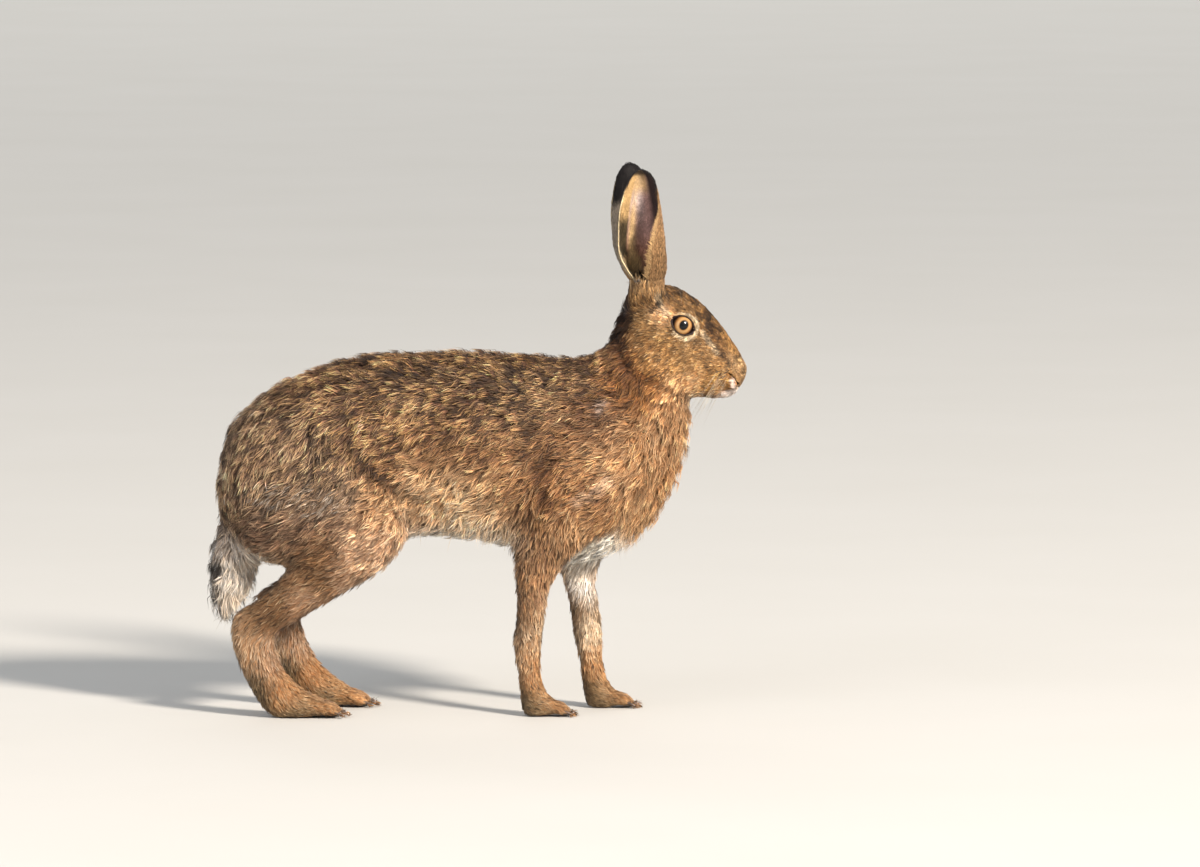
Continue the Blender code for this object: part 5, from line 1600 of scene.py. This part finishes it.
def hornMaterial(name, low, high, settings, fine):
    # keratin: horn, streaked and polished by use; fine says how many streaks to a millimetre
    material, tree, shader = newMaterial(name, settings)
    place = addNode(tree, "ShaderNodeTexCoord")
    streaks = {"Scale": fine / mm, "Detail": 3.0}
    streak = addNode(tree, "ShaderNodeTexNoise", streaks, {"Vector": (place, "Object")})
    bands = addNode(tree, "ShaderNodeValToRGB", links={"Fac": (streak, "Fac")})
    for element, at, colour in zip(bands.color_ramp.elements, (0.35, 0.7), (low, high)):
        element.position = at
        element.color = (*linear(colour), 1)
    relief = {"Strength": 0.2, "Distance": 0.05 * mm}
    bump = addNode(tree, "ShaderNodeBump", relief, {"Height": (streak, "Fac")})
    tree.links.new(bands.outputs["Color"], shader.inputs["Base Color"])
    tree.links.new(bump.outputs["Normal"], shader.inputs["Normal"])
    return material


whiskerPlan = {
    "seed": 5,
    "rows": 5,
    "perRow": 4,
    "reach": (24, 58),
    "brow": ((178, 18, 361, 26), (172, 18, 363, 20), (184, 17, 359, 15)),  # place and reach
    "rooted": 0.4,  # how deep each stands in the skin
    "sizes": {"Thickness": 0.075 * mm, "Taper": 0.8, "Steps": 12, "Sides": 5},
}
clawPlan = {
    "toes": (-1.0, -0.36, 0.3, 0.92),  # share of the way out to the edge of the foot
    "droop": (0.0, 0.0, -3.6),
    "sizes": {"Thickness": 1.35 * mm, "Taper": 0.55, "Steps": 9, "Sides": 9},
    "hind": {"root": (-150, 42), "length": 33, "spread": 12.5, "height": 5.6, "reach": 10.5, "step": 24},
    "fore": {"root": (62, 34), "length": 21, "spread": 9.6, "height": 5.0, "reach": 9.0, "step": 56},
}
stemsTree = stemTree()


def whiskers(word, material):
    side = sides[word]
    rng = np.random.default_rng(whiskerPlan["seed"])
    tree = searchTree(skinArrays[0], skinArrays[2])
    rows = []
    for i in range(whiskerPlan["rows"]):
        for j in range(whiskerPlan["perRow"]):
            x = 222 - 3.1 * j - 0.9 * i + rng.normal(0, 0.4)
            z = 306 - 3.6 * i + 0.3 * j + rng.normal(0, 0.4)
            spot, normal = tree.find_nearest(Vector((x, side * 16, z)))[:2]
            low, high = whiskerPlan["reach"]
            reach = low + (high - low) * (0.25 + 0.15 * j) * rng.uniform(0.7, 1.1)
            aim = Vector((-0.42 - 0.05 * j, side * 0.62, -0.5 - 0.06 * i)) + Vector(rng.normal(0, 0.1, 3))
            aim.normalize()
            droop = np.array((-0.16, side * -0.1, -0.42)) * reach * rng.uniform(0.7, 1.3)
            root = np.array(spot) - np.array(normal) * whiskerPlan["rooted"]
            rows.append((root, tuple(aim), reach, tuple(droop)))
    for x, y, z, reach in whiskerPlan["brow"]:
        spot, normal = tree.find_nearest(Vector((x, side * y, z)))[:2]
        aim = Vector((0.1, side * 0.5, 0.85)).normalized()
        root = np.array(spot) - np.array(normal) * whiskerPlan["rooted"]
        rows.append((root, tuple(aim), reach, (-8.0, side * 3.0, -3.0)))
    obj = stems("whiskers_" + word, rows, whiskerPlan["sizes"], material)
    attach(obj, "root")


def claws(word, material):
    side = sides[word]
    rows = []
    for foot in ("hind", "fore"):
        plan = clawPlan[foot]
        step = plan["step"] if word == "left" else 0
        for share in clawPlan["toes"]:
            x = plan["root"][0] + step + plan["length"] * (1 - 0.16 * share * share) - 5
            y = side * (plan["root"][1] + plan["spread"] * 1.28 * share)
            aim = Vector((1, side * 0.12 * share, 0.02)).normalized()
            rows.append(((x, y, plan["height"]), tuple(aim), plan["reach"], clawPlan["droop"]))
    obj = stems("claws_" + word, rows, clawPlan["sizes"], material)
    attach(obj, "root")


whiskerSettings = {"Roughness": 0.35, "Specular IOR Level": 0.5}
whiskerMaterial = hornMaterial("keratin whisker", "#6f5a40", "#cfc1a6", whiskerSettings, 0.06)
clawSettings = {"Roughness": 0.32, "Specular IOR Level": 0.5, "Coat Weight": 0.2}
clawMaterial = hornMaterial("keratin claw", "#2a1e17", "#6b5442", clawSettings, 0.3)
for word in sides:
    whiskers(word, whiskerMaterial)
    claws(word, clawMaterial)
print("whiskers and claws done")


# floor, light and camera
stagePlan = {
    "floor": 40.0,  # half width in metres, as are the places
    "floorColours": ("#c4c1ba", "#c9c6c0"),
    "lights": {
        "key": {"place": (7, -9, 6.6), "aim": (0, 0, 0.2), "size": 2.2, "power": 3600, "colour": "#fff6ec"},
        "fill": {"place": (-7, -8, 4.5), "aim": (0, 0, 0.2), "size": 9, "power": 520, "colour": "#f2f5ff"},
        "far": {"place": (0, 17, 10), "aim": (0, 17, 0), "size": 14, "power": 900, "colour": "#f6f4f0"},
    },
    "world": ("#e8edf4", 0.58),
    "camera": {"place": (0.10736, -8.966, 1.030), "aim": (0.10736, 0, 0.246), "lens": 307},
}


def aimed(place, target):
    return (Vector(target) - place).to_track_quat("-Z", "Y").to_euler()


def buildStage():
    half = stagePlan["floor"] / mm
    material, tree, shader = newMaterial("matt painted floor", {"Roughness": 0.85, "Specular IOR Level": 0.2})
    place = addNode(tree, "ShaderNodeTexCoord")
    grain = addNode(tree, "ShaderNodeTexNoise", {"Scale": 3.0, "Detail": 4.0}, {"Vector": (place, "Object")})
    bands = addNode(tree, "ShaderNodeValToRGB", links={"Fac": (grain, "Fac")})
    for element, colour in zip(bands.color_ramp.elements, stagePlan["floorColours"]):
        element.color = (*linear(colour), 1)
    tree.links.new(bands.outputs["Color"], shader.inputs["Base Color"])
    corners = np.array(((-half, -half, 0), (half, -half, 0), (half, half, 0), (-half, half, 0)))
    floor = meshObject("floor", corners, np.array(((0, 1, 2, 3),)), material, smooth=False)
    for name, plan in stagePlan["lights"].items():
        light = bpy.data.lights.new(name, "AREA")
        light.shape = "DISK"
        light.size = plan["size"]
        light.energy = plan["power"]
        light.color = linear(plan["colour"])
        obj = bpy.data.objects.new(name, light)
        obj.location = plan["place"]
        obj.rotation_euler = aimed(obj.location, plan["aim"])
        bpy.context.scene.collection.objects.link(obj)
    world = bpy.data.worlds.new("studio")
    world.use_nodes = True
    background = world.node_tree.nodes["Background"]
    background.inputs["Color"].default_value = (*linear(stagePlan["world"][0]), 1)
    background.inputs["Strength"].default_value = stagePlan["world"][1]
    bpy.context.scene.world = world
    plan = stagePlan["camera"]
    camera = bpy.data.cameras.new("camera")
    camera.lens = plan["lens"]
    camera.sensor_width = 36
    camera.clip_end = 100
    obj = bpy.data.objects.new("camera", camera)
    obj.location = plan["place"]
    obj.rotation_euler = aimed(obj.location, plan["aim"])
    bpy.context.scene.collection.objects.link(obj)
    bpy.context.scene.camera = obj
    bpy.context.scene.view_settings.view_transform = "Standard"


buildStage()
print("stage done")
